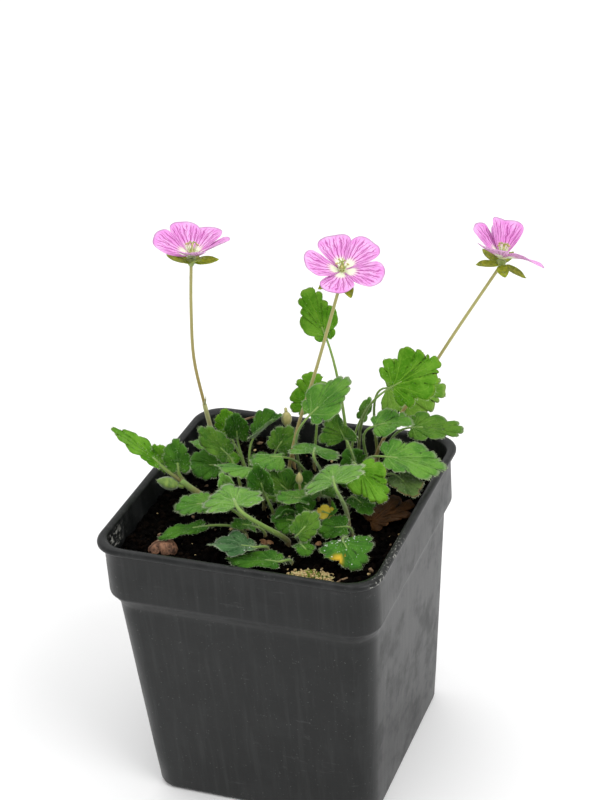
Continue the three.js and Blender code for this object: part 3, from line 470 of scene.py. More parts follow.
def strew(bm, shape, count, arrange):
    """Adds count copies of a small shape; arrange(i, verts, faces) lays each one out."""
    verts, faces = len(shape.verts), len(shape.faces)
    while len(shape.verts) < verts * count:
        bmesh.ops.duplicate(shape, geom=[*shape.verts, *shape.edges, *shape.faces])
    shape.verts.ensure_lookup_table()
    bmesh.ops.delete(shape, geom=shape.verts[verts * count :], context="VERTS")
    shape.verts.ensure_lookup_table()
    shape.faces.ensure_lookup_table()
    for i in range(count):
        own_faces = shape.faces[i * faces : (i + 1) * faces]
        arrange(i, shape.verts[i * verts : (i + 1) * verts], own_faces)
    mesh = bpy.data.meshes.new("strewn")
    shape.to_mesh(mesh)
    shape.free()
    bm.from_mesh(mesh)
    bpy.data.meshes.remove(mesh)


def hairs(bm, roots, length, thickness, finish, seed):
    """A fine hair from each (root, direction)."""
    chance = random.Random(seed)
    spike = bmesh.new()
    bmesh.ops.create_cone(spike, segments=3, radius1=1, radius2=0.3, depth=1)

    def grow(i, verts, faces):
        root, direction = roots[i]
        stray = Vector((chance.gauss(0, 1), chance.gauss(0, 1), chance.gauss(0, 1)))
        lean = (direction.normalized() + stray * 0.28).normalized()
        reach = length * chance.uniform(0.5, 1.25)
        turn = UP.rotation_difference(lean)
        for vert in verts:
            x, y, z = vert.co
            vert.co = root + turn @ Vector((x * thickness, y * thickness, (z + 0.5) * reach))
        for face in faces:
            face.material_index, face.smooth = finish, True

    strew(bm, spike, len(roots), grow)


def over_faces(faces, count, seed):
    """Roots for hairs, strewn over faces."""
    chance = random.Random(seed)
    roots = []
    for face in chance.choices(list(faces), k=count):
        a, b = chance.choice(face.verts).co, face.calc_center_median()
        roots.append((a.lerp(b, chance.random()), face.normal.copy()))
    return roots


def rooted(foot):
    """The first two points of a stalk: one down in the soil and one just above it."""
    ground = Vector((*foot, soil_height(*foot)))
    return [ground - UP * ROOT_DEPTH, ground + UP * 0.8]


def show(name, data):
    """Puts a mesh, lamp or camera in the scene."""
    made = bpy.data.objects.new(name, data)
    bpy.context.scene.collection.objects.link(made)
    return made


def show_mesh(name, bm, finishes):
    mesh = bpy.data.meshes.new(name)
    bm.to_mesh(mesh)
    bm.free()
    for finish in finishes:
        mesh.materials.append(finish)
    return show(name, mesh)


def piece(name, bm, finishes, slot, *nodes):
    """Makes a bmesh in millimetres a piece that rides with the pot and stands for its nodes."""
    bmesh.ops.scale(bm, vec=(MM, MM, MM), verts=bm.verts)
    made = show_mesh(name, bm, finishes)
    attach(made, "root")
    if nodes:
        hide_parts(*nodes)


# The pot

ARC_STEPS = 9
SIDE_STEPS = 12
HOLES = 8
HOLE_RADIUS = 3.5
BOW = 0.004
BOW_SPAN = 90


def rounded_square(u):
    """The point of a rounded square of half width 1 at u from 0 to 1, anticlockwise."""
    per_quarter = ARC_STEPS + SIDE_STEPS
    step = round(u * 4 * per_quarter)
    quarter, step = divmod(step, per_quarter)
    straight = 1 - CORNER_SHARE
    if step <= ARC_STEPS:
        turn = step / ARC_STEPS * pi / 2
        arc = Vector((cos(turn), sin(turn)))
        point = Vector((straight, straight)) + arc * CORNER_SHARE
    else:
        point = Vector((straight * (1 - 2 * (step - ARC_STEPS) / SIDE_STEPS), 1))
    point.rotate(Matrix.Rotation(quarter * pi / 2, 2))
    return point


def inside_half(height):
    if height >= BAND_FOOT:
        return BAND_HALF - WALL
    if height <= SHOULDER_FOOT:
        return FOOT_HALF + WALL_TAPER * height - WALL
    share = (height - SHOULDER_FOOT) / (BAND_FOOT - SHOULDER_FOOT)
    return SHOULDER_HALF + share * (BAND_HALF - SHOULDER_HALF) - WALL


def wall_profile():
    """From the middle of the foot, up the outside, over the lip and down the inside."""
    foot = [(0, 0), (FOOT_HALF - 6, 0), (FOOT_HALF - 1.2, 0), (FOOT_HALF - 0.3, 0.35)]
    taper = [(FOOT_HALF, 1.2)]
    taper += [(FOOT_HALF + WALL_TAPER * h, h) for h in (12, 24, 36, 48, 60, 71)]
    band = [
        (SHOULDER_HALF - 0.05, SHOULDER_FOOT - 0.6),
        (SHOULDER_HALF + 0.2, SHOULDER_FOOT + 0.3),
        (BAND_HALF - 0.5, BAND_FOOT - 0.7),
        (BAND_HALF - 0.1, BAND_FOOT - 0.1),
        (BAND_HALF, BAND_FOOT + 0.5),
        (BAND_HALF, BAND_FOOT + 8),
        (BAND_HALF, POT_HEIGHT - 3.0),
        (BAND_HALF + 0.1, POT_HEIGHT - 2.5),
    ]
    lip = [
        (RIM_HALF - 0.9 + 0.9 * cos(radians(turn)), POT_HEIGHT - 1.1 + 1.1 * sin(radians(turn)))
        for turn in (-80, -50, -20, 10, 40, 70, 90)
    ]
    inside = [
        (RIM_HALF - 1.6, POT_HEIGHT),
        (BAND_HALF - WALL + 0.3, POT_HEIGHT - 0.3),
        (BAND_HALF - WALL, POT_HEIGHT - 1.0),
        *[(inside_half(h), h) for h in (BAND_FOOT, SHOULDER_FOOT, 1.4)],
        (0, 1.4),
    ]
    return foot + taper + band + lip + inside


def make_pot():
    bm = bmesh.new()
    profile = wall_profile()
    last = len(profile) - 1

    def place(u, v):
        half, height = profile[round(v * last)]
        point = rounded_square(u) * half
        # The thin walls bow in a little between the corners.
        across, along = [cos(share / BOW_SPAN * pi) for share in point]
        slack = 1 - BOW * across * along
        return Vector((point.x * slack, point.y * slack, height))

    sheet(bm, 4 * (ARC_STEPS + SIDE_STEPS), last, place)
    first = len(bm.faces)
    spread = FOOT_HALF * 0.62
    for i in range(HOLES):
        turn = i / HOLES * 2 * pi
        reach = spread * (1.3 if i % 2 else 1)
        stand = Matrix.Translation((reach * cos(turn), reach * sin(turn), -0.02))
        bmesh.ops.create_circle(bm, cap_ends=True, segments=20, radius=HOLE_RADIUS, matrix=stand)
    bm.faces.ensure_lookup_table()
    holes = bm.faces[first:]
    bmesh.ops.reverse_faces(bm, faces=holes)
    for face in holes:
        face.material_index = 1
    piece("nursery_pot", bm, [PLASTIC, COMPOST], "pot", "pot")


# The soil and what lies on it

CRUMBS = 3200
TUFTS = 420
MOSS_GRIT = 230


def crumbs(bm, spots, seed, flat=0.7):
    """A rough lump at each (x, y, height, size, finish)."""
    chance = random.Random(seed)
    lump = bmesh.new()
    bmesh.ops.create_icosphere(lump, subdivisions=1, radius=1)

    def drop(i, verts, faces):
        x, y, height, size, finish = spots[i]
        turn = spin("Z", chance.uniform(0, 6.3))
        turn = turn @ spin("X", chance.uniform(-0.6, 0.6))
        shape = Matrix.Diagonal((chance.uniform(0.7, 1.3), chance.uniform(0.7, 1.1), flat, 1))
        place = Matrix.Translation((x, y, height)) @ turn @ shape
        for vert in verts:
            rough = noise.noise_vector(vert.co * 1.3 + Vector((i * 0.37, i * 1.1, 0)))
            vert.co = place @ ((vert.co + rough * 0.45) * size)
        for face in faces:
            face.material_index = finish

    strew(bm, lump, len(spots), drop)


def make_soil():
    bm = bmesh.new()
    half = inside_half(SOIL_LEVEL) - 0.25
    corner = CORNER_SHARE * half
    straight = half - corner

    def place(u, v):
        x, y = (2 * u - 1) * (half + 0.6), (2 * v - 1) * (half + 0.6)
        down = max(abs(x), abs(y)) > half
        x, y = min(max(x, -half), half), min(max(y, -half), half)
        past = Vector((max(abs(x) - straight, 0), max(abs(y) - straight, 0)))
        if past.length > corner:
            past = past.normalized() * corner
            x = copysign(straight + past.x, x)
            y = copysign(straight + past.y, y)
        here = Vector((x, y, 0))
        coarse, fine, finest = [noise.noise(here * per_mm) for per_mm in (0.45, 1.3, 3.1)]
        fine = 1.1 * coarse + 0.5 * fine + 0.3 * finest
        return Vector((x, y, soil_height(x, y) + fine - 0.3 - (3 if down else 0)))

    sheet(bm, 130, 130, place)
    chance = random.Random(4)
    spots = []
    while len(spots) < CRUMBS:
        x, y = chance.uniform(-1, 1) * (half - 1), chance.uniform(-1, 1) * (half - 1)
        if hypot(max(abs(x) - straight, 0), max(abs(y) - straight, 0)) > corner - 1:
            continue
        size = chance.choice((0.35, 0.45, 0.6, 0.8, 1.1, 1.5))
        kind = chance.random()
        finish = 1 if kind < 0.4 else 2 if kind > 0.985 else 3 if kind > 0.975 else 0
        height = soil_height(x, y) + size * 0.1
        spots.append((x, y, height, size * (0.6 if finish > 1 else 1), finish))
    crumbs(bm, spots, 5)
    piece("compost", bm, [COMPOST, PEAT, GRIT, TWIG], "soil", "soil")


BARK_AT = (-27.5, -30.5)
BARK_SIZE = (4.6, 3.6, 2.9)
MOSS_AT = (21.4, -33.2)
MOSS_SPREAD = (7.2, 4.2)


def make_bark_chip():
    bm = bmesh.new()
    x, y = BARK_AT
    place = Matrix.Translation((x, y, soil_height(x, y) + 0.6))
    place = place @ spin("Z", 0.4) @ spin("Y", -0.12)
    made = bmesh.ops.create_icosphere(bm, subdivisions=4, radius=1)["verts"]
    for vert in made:
        vert.co *= 1 + 0.16 * noise.noise(vert.co * 1.4) + 0.05 * noise.noise(vert.co * 5)
    size = Matrix.Diagonal((*BARK_SIZE, 1))
    bmesh.ops.transform(bm, matrix=place @ size, verts=made)
    for face in bm.faces:
        face.smooth = True
    piece("bark_chip_on_soil", bm, [BARK], "bark", "bark_chip")


def make_moss():
    """A low cushion of pointed tufts, strewn with pale grit."""
    bm = bmesh.new()
    chance = random.Random(5)
    cx, cy = MOSS_AT
    long, short = MOSS_SPREAD
    ground = soil_height(cx, cy)

    def bed(u, v):
        turn, reach = 2 * pi * u, v
        x, y = reach * (long + 0.6) * cos(turn), reach * (short + 0.6) * sin(turn)
        bump = 0.5 * noise.noise(Vector((x, y, 0)) * 0.9)
        dome = 1.3 * sqrt(1 - 0.98 * reach * reach)
        return Vector((cx + x, cy + y, ground + dome + bump * (1 - reach) - 0.3))

    sheet(bm, 36, 10, bed, flip=True)
    tuft = bmesh.new()
    bmesh.ops.create_cone(tuft, segments=4, radius1=1, radius2=0.1, depth=1)

    def plant(i, verts, faces):
        turn, reach = chance.uniform(0, 6.3), sqrt(chance.random())
        x, y = cx + long * reach * cos(turn), cy + short * reach * sin(turn)
        lean = spin("X", chance.gauss(0, 0.45))
        lean = lean @ spin("Y", chance.gauss(0, 0.45))
        shape = Matrix.Diagonal((0.2, 0.2, chance.uniform(0.6, 1.2), 1))
        stand = Matrix.Translation((x, y, ground + 1.25 - 0.9 * reach * reach)) @ lean @ shape
        for vert in verts:
            vert.co = stand @ vert.co

    strew(bm, tuft, TUFTS, plant)
    spots = []
    for _ in range(MOSS_GRIT):
        turn, reach = chance.uniform(0, 6.3), sqrt(chance.random()) * 1.08
        x, y = cx + long * reach * cos(turn), cy + short * reach * sin(turn)
        if y > cy + 1 and chance.random() < 0.6:
            continue
        lift = ground + 1.75 - 1.0 * reach * reach
        spots.append((x, y, lift, chance.uniform(0.22, 0.62), chance.choice((1, 1, 1, 2))))
    crumbs(bm, spots, 6, 0.85)
    piece("moss_cushion", bm, [MOSS, GRIT, YELLOW_BUD], "moss", "moss")


# Leaves

BLADE_MIDDLE = 0.42
BACK_LOBES = 0.12
LAST_LOBE = 0.94 * pi
CREASE = 0.08
CRENATION = 0.035
BLADE_THICKNESS = 0.45
FACING = (0.33, -0.8, 0.5)


class Leaf:
    """A leaf's measures in millimetres; fold is in degrees.

    Its stalk leaves the soil at foot and meets the blade at joint, tip is the blade's far end,
    and face is where its upper side looks. depth and cleft give how deep the lobes are cut, as
    shares of the width, and wedge how far the foot narrows.
    """

    fold, bow, wave, phase = 8, 0.12, 0.5, 0
    lobes, majors, depth, cleft, wedge = 7, 5, 0.09, 0.11, 0
    rise, radius, down = 0.4, 0.62, 1.0

    def __init__(self, foot, joint, tip, width, tone="fresh", face=UP, **rest):
        self.foot, self.joint, self.tip = foot, Vector(joint), Vector(tip)
        self.width, self.tone, self.face = width, tone, face
        self.length = (self.tip - self.joint).length
        vars(self).update(rest)


# Leaves of the "deep" tone have the shade they stand in painted into a darker green.
LEAVES = {
    "left_1": Leaf((-19, 5), (-25.5, 11, 94.5), (-34, 5.5, 97), 11, "deep", (0, -0.5, 0.85)),
    "left_2": Leaf((-17, 7), (-22.5, 11, 99), (-29, 7, 110), 8.4, "patchy", (0.5, -0.5, 0.7)),
    "left_3": Leaf((-17, 13), (-21.6, 17.8, 101.6), (-19.6, 14.3, 111.6), 8, "deep",
        (0.3, -0.9, 0.2)),
    "left_4": Leaf((-21, 20), (-26.5, 23, 99.5), (-27.5, 22, 108), 8, "fresh", (0.2, -0.8, 0.4)),
    "left_5": Leaf((-27, 15), (-31, 18.6, 96), (-38, 17.4, 98.5), 5.4, "grey", lobes=5),
    "left_6": Leaf((-23, 9), (-25.8, 14.7, 94.6), (-20.4, 16.7, 94.7), 5, "fresh",
        (0.1, -0.4, 0.9), fold=30, lobes=5),
    "back_1": Leaf((-14, 9), (-14.5, 16.5, 104), (-7, 18.5, 112), 9, "deep", (-0.5, -0.3, 0.8),
        fold=42),
    "back_2": Leaf((-6, 9), (-5.5, 11.5, 103), (-1, 13, 110.5), 9, "patchy", (0.2, -0.8, 0.5)),
    "back_3": Leaf((1, 26), (1.0, 30.6, 108.4), (-0.6, 30.2, 119.8), 14, "fresh", FACING, lobes=9,
        majors=3, cleft=0.22),
    "back_4": Leaf((1, 14), (9.6, 4.6, 121.4), (19.8, 11.4, 131.6), 11.5, "grey",
        (-0.1, -0.75, 0.6), wave=1.0, majors=3, cleft=0.12),
    "back_5": Leaf((16.5, 17.5), (9.5, 22, 139.2), (3.9, 23.7, 153.0), 12.8, "fresh", FACING,
        fold=14, cleft=0.26, majors=3, rise=0.15, radius=0.72, wedge=0.75),
    "back_6": Leaf((15, 30), (30, 23, 124), (43, 27, 132), 17, "fresh", FACING, lobes=9,
        cleft=0.18, depth=0.12),
    "back_7": Leaf((19, 37), (22.2, 40.4, 113.3), (41.0, 37.7, 116.2), 19, "pale", FACING, lobes=9,
        cleft=0.14),
    "back_9": Leaf((11, 33), (14, 37, 103), (17, 38, 110), 4, "grey", FACING, fold=30, lobes=5),
    "mid_1": Leaf((-6.5, 0), (-8, -2.5, 103.5), (-19, -4.5, 105.5), 13, "grey", (-0.1, 0.3, 0.95),
        fold=-15, bow=0.04),
    "mid_3": Leaf((-9, -9), (-12.5, -11.3, 99.5), (-14.5, -12, 106.5), 5, "grey", FACING, fold=50,
        lobes=5),
    "mid_4": Leaf((0, -7), (-3, -7, 99), (-4, -9, 109), 8, "deep", (0.3, -0.9, 0.2), fold=40),
    "mid_5": Leaf((5, 11), (-0.5, 3.5, 105.5), (-8.5, -1, 107.5), 10, "grey", (0, -0.1, 1),
        fold=-24, bow=0.2),
    "mid_6": Leaf((11, 11), (11, 1.5, 110), (9, 9.5, 109), 16, "grey", (0.05, 0.4, 0.9), fold=-14),
    "mid_7": Leaf((13.5, 6), (13.5, -1, 97), (14.5, -4, 105), 10, "grey", FACING, fold=30),
    "mid_8": Leaf((8, 0), (9.4, -4.5, 96.6), (2.4, -9, 99.4), 9, "grey"),
    "mid_9": Leaf((19.5, 15), (19, 8.5, 112), (16, 7.5, 120), 12, "patchy", (-0.3, -0.75, 0.6),
        fold=32, majors=3, cleft=0.2),
    "mid_10": Leaf((11, -10), (8.5, -9.5, 91.5), (1.5, -12.5, 93.5), 10, "deep", (0.1, -0.5, 0.9)),
    "mid_11": Leaf((5, 2), (2, 1, 95), (-4, -1.5, 102), 12, "patchy", (0.3, -0.85, 0.4)),
    "mid_12": Leaf((18.5, -7.5), (18.4, -5, 92.6), (13.6, -5.6, 94), 5, "yellow", (0.2, -0.7, 0.7),
        down=0.4, lobes=5),
    "right_1": Leaf((21, 24), (25, 19, 111.5), (34.8, 23.5, 113.5), 10, "grey", (0, -0.25, 0.95),
        cleft=0.3, majors=3, wave=0.8),
    "right_2": Leaf((24, 30), (34.5, 27, 107.8), (49.3, 29.8, 108.6), 9.5, "patchy",
        (0.1, -0.35, 0.9), lobes=9, cleft=0.34, majors=3, depth=0.12),
    "right_3": Leaf((20, 20), (31.5, 10, 106.5), (48, 19, 101.5), 13.6, "grey", (0, -0.4, 0.9),
        lobes=9, cleft=0.16, depth=0.11),
    "right_4": Leaf((20, 13), (25, 2.5, 106), (34.5, -3.5, 100), 11.5, "fresh", (0.2, -0.6, 0.75),
        cleft=0.2, majors=3, depth=0.1),
    "right_5": Leaf((25, 17), (34.2, 12, 98.6), (42.2, 5.4, 98.2), 10.5, "dull"),
    "right_6": Leaf((23.5, -5), (23, -13.5, 109.5), (18.5, -4, 110.5), 19, "felted",
        (-0.4, 0.25, 0.87), fold=-10, lobes=9, radius=0.8, down=1.6),
    "right_7": Leaf((26, -9), (25, -11, 93), (17, -14, 93), 9, "deep", (0.1, -0.3, 0.95)),
    "right_8": Leaf((27, -14), (27.2, -20.3, 94), (34, -28.4, 92.3), 14.8, "patched", lobes=9,
        cleft=0.2, majors=3),
    "right_9": Leaf((20, 4), (23, 2.5, 95), (30, -2, 94), 8, "deep"),
    "front_1": Leaf((8, -17), (-4.5, -24.5, 104), (-11.5, -15, 105.5), 18, "felted",
        (-0.25, 0.3, 0.92), fold=-12, lobes=9, radius=1.05, down=1.6, rise=0.1),
    "front_2": Leaf((-7, -13), (-18.5, -15, 97), (-28.5, -18, 96.5), 9, "grey", (0, -0.3, 1)),
    "front_3": Leaf((-5, -18), (-18, -21, 92.4), (-28, -31, 94.6), 5.6, "deep", (-0.1, -0.3, 1),
        cleft=0.16),
    "front_4": Leaf((4, -23), (1, -28, 92.5), (-11, -32, 95.3), 11, "frosted", wave=1.3, cleft=0.1,
        depth=0.12),
    "front_5": Leaf((13, -27), (10.4, -32.2, 91.5), (-5, -33.2, 92.2), 10, "deep", lobes=9,
        fold=4),
    "front_6": Leaf((0, -15.5), (-2.5, -18.4, 93.4), (-7.5, -21.8, 96), 8, "deep"),
    "front_7": Leaf((12, -16), (13.5, -22, 95.2), (18.5, -18, 101), 8, "patchy", (0.2, -0.8, 0.5)),
    "front_8": Leaf((15, -20), (14.3, -22.5, 92.3), (18.7, -26, 92), 6, "deep", lobes=5),
}
for number, leaf in enumerate(LEAVES.values()):
    leaf.phase = number * 1.7


def rounded(along):
    """A row of half circles of width 1, from 0 in the clefts to 1 on the lobes."""
    t = along - (along + 1e-9) // 1
    return sqrt(max(0, 1 - (2 * t - 1) ** 2))


def blade_edge(u, leaf):
    """The margin in the blade's own plane, x to the tip and y to its left.

    u runs round it from one side of the notch at the joint to the other.
    """
    length, width = leaf.length, leaf.width
    phi = LAST_LOBE * (2 * u - 1) * 0.9999
    c, s = cos(phi), sin(phi)
    reach = 1 - BLADE_MIDDLE if c > 0 else BLADE_MIDDLE + BACK_LOBES
    x = length * (BLADE_MIDDLE + reach * copysign(abs(c) ** 0.9, c))
    y = width / 2 * copysign(abs(s) ** 0.9, s) * (1 - 0.12 * c)
    y *= 1 - leaf.wedge * (0.5 - 0.5 * c) ** 2
    edge = Vector((x, y))
    rib = Vector((min(max(x, 0.25 * length), 0.8 * length), 0))
    inwards = (rib - edge).normalized()
    scallop = leaf.depth * (1 - rounded(u * leaf.lobes))
    cleft = leaf.cleft * (0.65 - rounded(u * leaf.majors))
    crenate = CRENATION * (1 - rounded(u * leaf.lobes * 2 + 0.001))
    return edge + inwards * (scallop + cleft + crenate) * width


def blade_height(x, y, out, leaf):
    length, width = leaf.length, leaf.width
    crease = CREASE * width
    folded = tan(radians(leaf.fold)) * (hypot(y, crease) - crease)
    bowed = -leaf.bow * length * (x / length) ** 2
    around = atan2(y, x - BLADE_MIDDLE * length)
    waved = leaf.wave * out**2 * sin(3 * around + leaf.phase)
    return folded + bowed + waved


def blade_stand(joint, tip, face):
    ahead = (tip - joint).normalized()
    side = Vector(face).cross(ahead).normalized()
    stand = Matrix((ahead, side, ahead.cross(side))).transposed().to_4x4()
    stand.translation = joint
    return stand


def leaf_blade(bm, leaf, seed, front=0, back=1):
    """The blade, as rays from its joint. Gives back the roots of its down."""
    stand = blade_stand(leaf.joint, leaf.tip, leaf.face)
    up = stand.to_3x3() @ UP
    lobes = leaf.lobes

    def surface(u, v):
        edge = blade_edge(u, leaf)
        # The rays keep beside the midrib at first, as veins do.
        x, y = edge.x * v, edge.y * v ** (1 + 0.45 * max(edge.x, 0) / leaf.length)
        cupped = 0.008 * leaf.width * v * v * cos(2 * pi * u * lobes)
        ruffle = 0.5 * v**3 * noise.noise(Vector((u * lobes * 0.9, seed * 3.7, 0)))
        ruffle += 0.35 * v * noise.noise(Vector((x * 0.45, y * 0.45, seed * 2.3)))
        return stand @ Vector((x, y, blade_height(x, y, v, leaf) - cupped + ruffle)), up

    faces = blade(bm, lobes * 15, 9, surface, BLADE_THICKNESS, lobes, front, back)
    bm.normal_update()
    amount = leaf.down
    middle = stand @ Vector((BLADE_MIDDLE * leaf.length, 0, 0))
    roots = over_faces(faces, int(260 * amount), seed + 1)
    chance = random.Random(seed)
    for i in range(int(20 * leaf.width * amount)):
        here = surface(chance.random(), 1)[0]
        roots.append((here, (here - middle).normalized() + up * chance.uniform(-0.2, 0.4)))
    return roots


def petiole_path(leaf):
    ahead = (leaf.tip - leaf.joint).normalized()
    deep, emerge = rooted(leaf.foot)
    span = (leaf.joint - emerge).length
    leave, arrive = emerge + UP * leaf.rise * span, leaf.joint - ahead * 0.3 * span
    sweep = bend(emerge, leave, arrive, leaf.joint, 14)
    return [deep, *sweep, leaf.joint + ahead * 1.6, leaf.joint + ahead * 3.5]


def stalk_hairs(path, radius, count, seed):
    chance = random.Random(seed)
    stations = runs_along(path)
    roots = []
    for _ in range(count):
        point, side, up = stations[chance.randrange(1, len(stations))]
        before = stations[max(stations.index((point, side, up)) - 1, 0)][0]
        turn = chance.uniform(0, 2 * pi)
        out = side * cos(turn) + up * sin(turn)
        roots.append((point.lerp(before, chance.random()) + out * radius, out))
    return roots


def make_leaves():
    for seed, (place, leaf) in enumerate(LEAVES.items()):
        bm = bmesh.new()
        roots = leaf_blade(bm, leaf, seed)
        path = petiole_path(leaf)
        thick = leaf.radius
        tube(bm, path, lambda v: thick * (1 - 0.55 * v), finish=2)
        hairs(bm, roots, 0.6, 0.026, 3, seed + 50)
        roots = stalk_hairs(path[1:-2], thick * 0.7, int(70 * leaf.down), seed)
        hairs(bm, roots, 0.9, 0.03, 3, seed)
        finishes = [LEAF_FACES[leaf.tone], LEAF_BACK, LEAF_STALK, DOWN]
        piece(f"{place}_leaf", bm, finishes, "leaf", f"leaf_{place}")


# Small leaves low in the tuft, painted dark green for the shade they lie in: foot, joint, tip and
# width.
LOW_LEAVES = [
    ((2, 6), (0, 3.5, 93.5), (-5, 1, 97), 7),
    ((9, 8), (8, 5, 95), (5, 1.5, 100), 8),
    ((14, 12), (15, 8, 96.5), (17, 4, 103), 9),
    ((15, 1), (16.5, -2.5, 92), (19, -6, 94.5), 7),
    ((7, -5), (5, -8.5, 92.5), (6, -12.5, 96), 7),
    ((12, -2), (11.5, -5.5, 93), (8.5, -8.5, 97), 7.5),
    ((22, 10), (25, 7, 95), (27.5, 2.5, 98.5), 9),
    ((-4, 4), (-7, 5, 94), (-12, 3, 98.5), 8),
    ((-12, -4), (-15, -6, 92.5), (-19.5, -9, 94.5), 7),
    ((18, 22), (18.5, 18, 97), (16.5, 14.5, 103), 9),
    ((-9, 14), (-10, 12, 95), (-13, 9, 100.5), 8),
]


def make_low_leaves():
    bm = bmesh.new()
    roots = []
    for i, place in enumerate(LOW_LEAVES):
        leaf = Leaf(*place, "deep", (0.2, -0.75, 0.6), lobes=5, down=0.4, phase=i * 1.3)
        roots += leaf_blade(bm, leaf, 70 + i)
        tube(bm, petiole_path(leaf), lambda v: 0.5 * (1 - 0.5 * v), finish=2)
    hairs(bm, roots, 0.5, 0.026, 3, 91)
    piece("low_leaves", bm, [LEAF_FACES["deep"], LEAF_BACK, LEAF_STALK, DOWN], "leaf")


def make_dead_leaf():
    bm = bmesh.new()
    cut = {"fold": 12, "bow": -0.05, "wave": 0.9, "cleft": 0.25, "depth": 0.2}
    leaf = Leaf(None, (29, -1, 89.3), (39, 9.5, 90.1), 12, "dead", (0.05, -0.1, 1), **cut)
    leaf_blade(bm, leaf, 77)
    face = LEAF_FACES[leaf.tone]
    piece("withered_leaf", bm, [face, face], "dead_leaf", "dead_leaf")


# The side shoot and the buds

SHOOT_STEM = [(-26, -3.2, 91.5), (-29, -4.8, 95), (-31.5, -6, 98)]
SHOOT_FOOT = (-23, -2)
SHOOT_LEAVES = [
    Leaf((-31, -5.8, 97.5), (-38.6, -6, 103.4), (-54.2, -2, 113), 8, cleft=0.2),
    Leaf((-31, -5, 97.5), (-35, -4.5, 101.5), (-41, -4, 108), 7, face=(-0.3, -0.7, 0.5)),
    Leaf((-31, -5.6, 97.5), (-32, -5.5, 101.5), (-33, -4, 111), 8.5, "deep", (0.2, -0.9, 0.3)),
]
SHOOT_BUD = {"start": (-30.5, -6.2, 96), "end": (-38.5, -8.5, 98.5)}


def bud(bm, start, end, radius, length, finish):
    """A plump bud: five sepals closed over each other, drawn out to a point."""
    shares = [(0, 0), (0.35, 0.01), (0.66, 0.1), (0.88, 0.24), (1.0, 0.42)]
    shares += [(0.93, 0.58), (0.7, 0.76), (0.36, 0.91), (0.12, 0.98), (0, 1.0)]
    profile = [(radius * r, length * h) for r, h in shares]
    start, end = Vector(start), Vector(end)
    along = (end - start).normalized()
    stand = UP.rotation_difference(along).to_matrix().to_4x4()
    stand.translation = end - along * length
    faces = lathe(bm, profile, stand, 30, finish, ribs=5, depth=0.07)
    bm.normal_update()
    return over_faces(faces, 60, 9)


def make_shoot():
    bm = bmesh.new()
    path = through([*rooted(SHOOT_FOOT), *SHOOT_STEM])
    tube(bm, path, lambda v: 1.15 - 0.2 * v, 12, 3)
    roots = stalk_hairs(path, 1.0, 120, 3)
    for i, leaf in enumerate(SHOOT_LEAVES):
        leaf.phase = i * 2.1
        roots += leaf_blade(bm, leaf, 30 + i, 4 if leaf.tone == "deep" else 0)
        joint, start = leaf.joint, Vector(leaf.foot)
        ahead = (leaf.tip - joint).normalized()
        approach = joint - ahead * 0.35 * (joint - start).length
        stalk = through([start, approach, joint, joint + ahead * 2.5], 4)
        tube(bm, stalk, lambda v: 0.7 - 0.3 * v, finish=2)
        roots += stalk_hairs(stalk, 0.6, 40, 7 + i)
    start, end = Vector(SHOOT_BUD["start"]), Vector(SHOOT_BUD["end"])
    tube(bm, [start, start.lerp(end, 0.4)], lambda v: 0.75, finish=2)
    roots += bud(bm, start, end, 2.1, 7, 5)
    hairs(bm, roots, 0.75, 0.03, 6, 8)
    # deep is the darker green that paints shade on a leaf.
    fresh, deep = LEAF_FACES["fresh"], LEAF_FACES["deep"]
    finishes = [fresh, LEAF_BACK, LEAF_STALK, RED_STEM, deep, BUD, DOWN]
    piece("side_shoot", bm, finishes, "leaf", "leafy_shoot_left")


# Small litter: papery scales at the crown, twigs, and drops of water.

CROWN_SCALES = [
    ((2.4, -19.3), (-0.8, 0.2, 0.35), 3.4, 1.8),
    ((3.8, -18.4), (-0.5, -0.5, 0.6), 2.8, 1.6),
    ((7.8, -12.8), (0.4, -0.4, 1.0), 3.6, 1.8),
    ((16.4, -15.0), (0.6, -0.5, 0.35), 2.8, 1.8),
]
TWIGS = [
    ([(29.6, -34.8, 88.6), (30.6, -33.2, 89.0), (32.2, -31.4, 89.0)], 0.4),
    ([(-30.5, 40.6, 93.0), (-28.5, 40.9, 94.6), (-25.5, 41.2, 95.6), (-22.4, 41.1, 95.2)], 0.45),
    ([(-3.0, -35.5, 88.4), (-0.5, -33.8, 88.9), (2.5, -33.2, 88.7)], 0.3),
]


def make_scales():
    """Dry, curled stipules round the foot of the crown."""
    bm = bmesh.new()
    for (x, y), lean, length, width in CROWN_SCALES:
        joint = Vector((x, y, soil_height(x, y) + 0.4))
        stand = blade_stand(joint, joint + Vector(lean), (0.1, -0.5, 1))

        def on_scale(u, v, stand=stand, length=length, width=width):
            phi = pi * (2 * u - 1) * 0.999
            along = length * (0.5 + 0.5 * cos(phi)) * v
            across = width / 2 * sin(phi) * v
            height = 0.5 * across * across / width - 0.06 * along * along
            return stand @ Vector((along, across, height)), stand.to_3x3() @ UP

        blade(bm, 24, 6, on_scale, 0.25, 1, 0, 0)
    piece("crown_scales", bm, [SCALE], "dead_leaf")


def make_twigs():
    bm = bmesh.new()
    for points, radius in TWIGS:

        def knotted(v, radius=radius):
            knot = 0.25 * noise.noise(Vector((int(v * 30) * 0.9, radius * 9, 0)))
            return radius * (1 + knot) * (1 - 0.3 * v)

        tube(bm, through(points, 6), knotted)
    piece("twigs", bm, [TWIG], "bark")


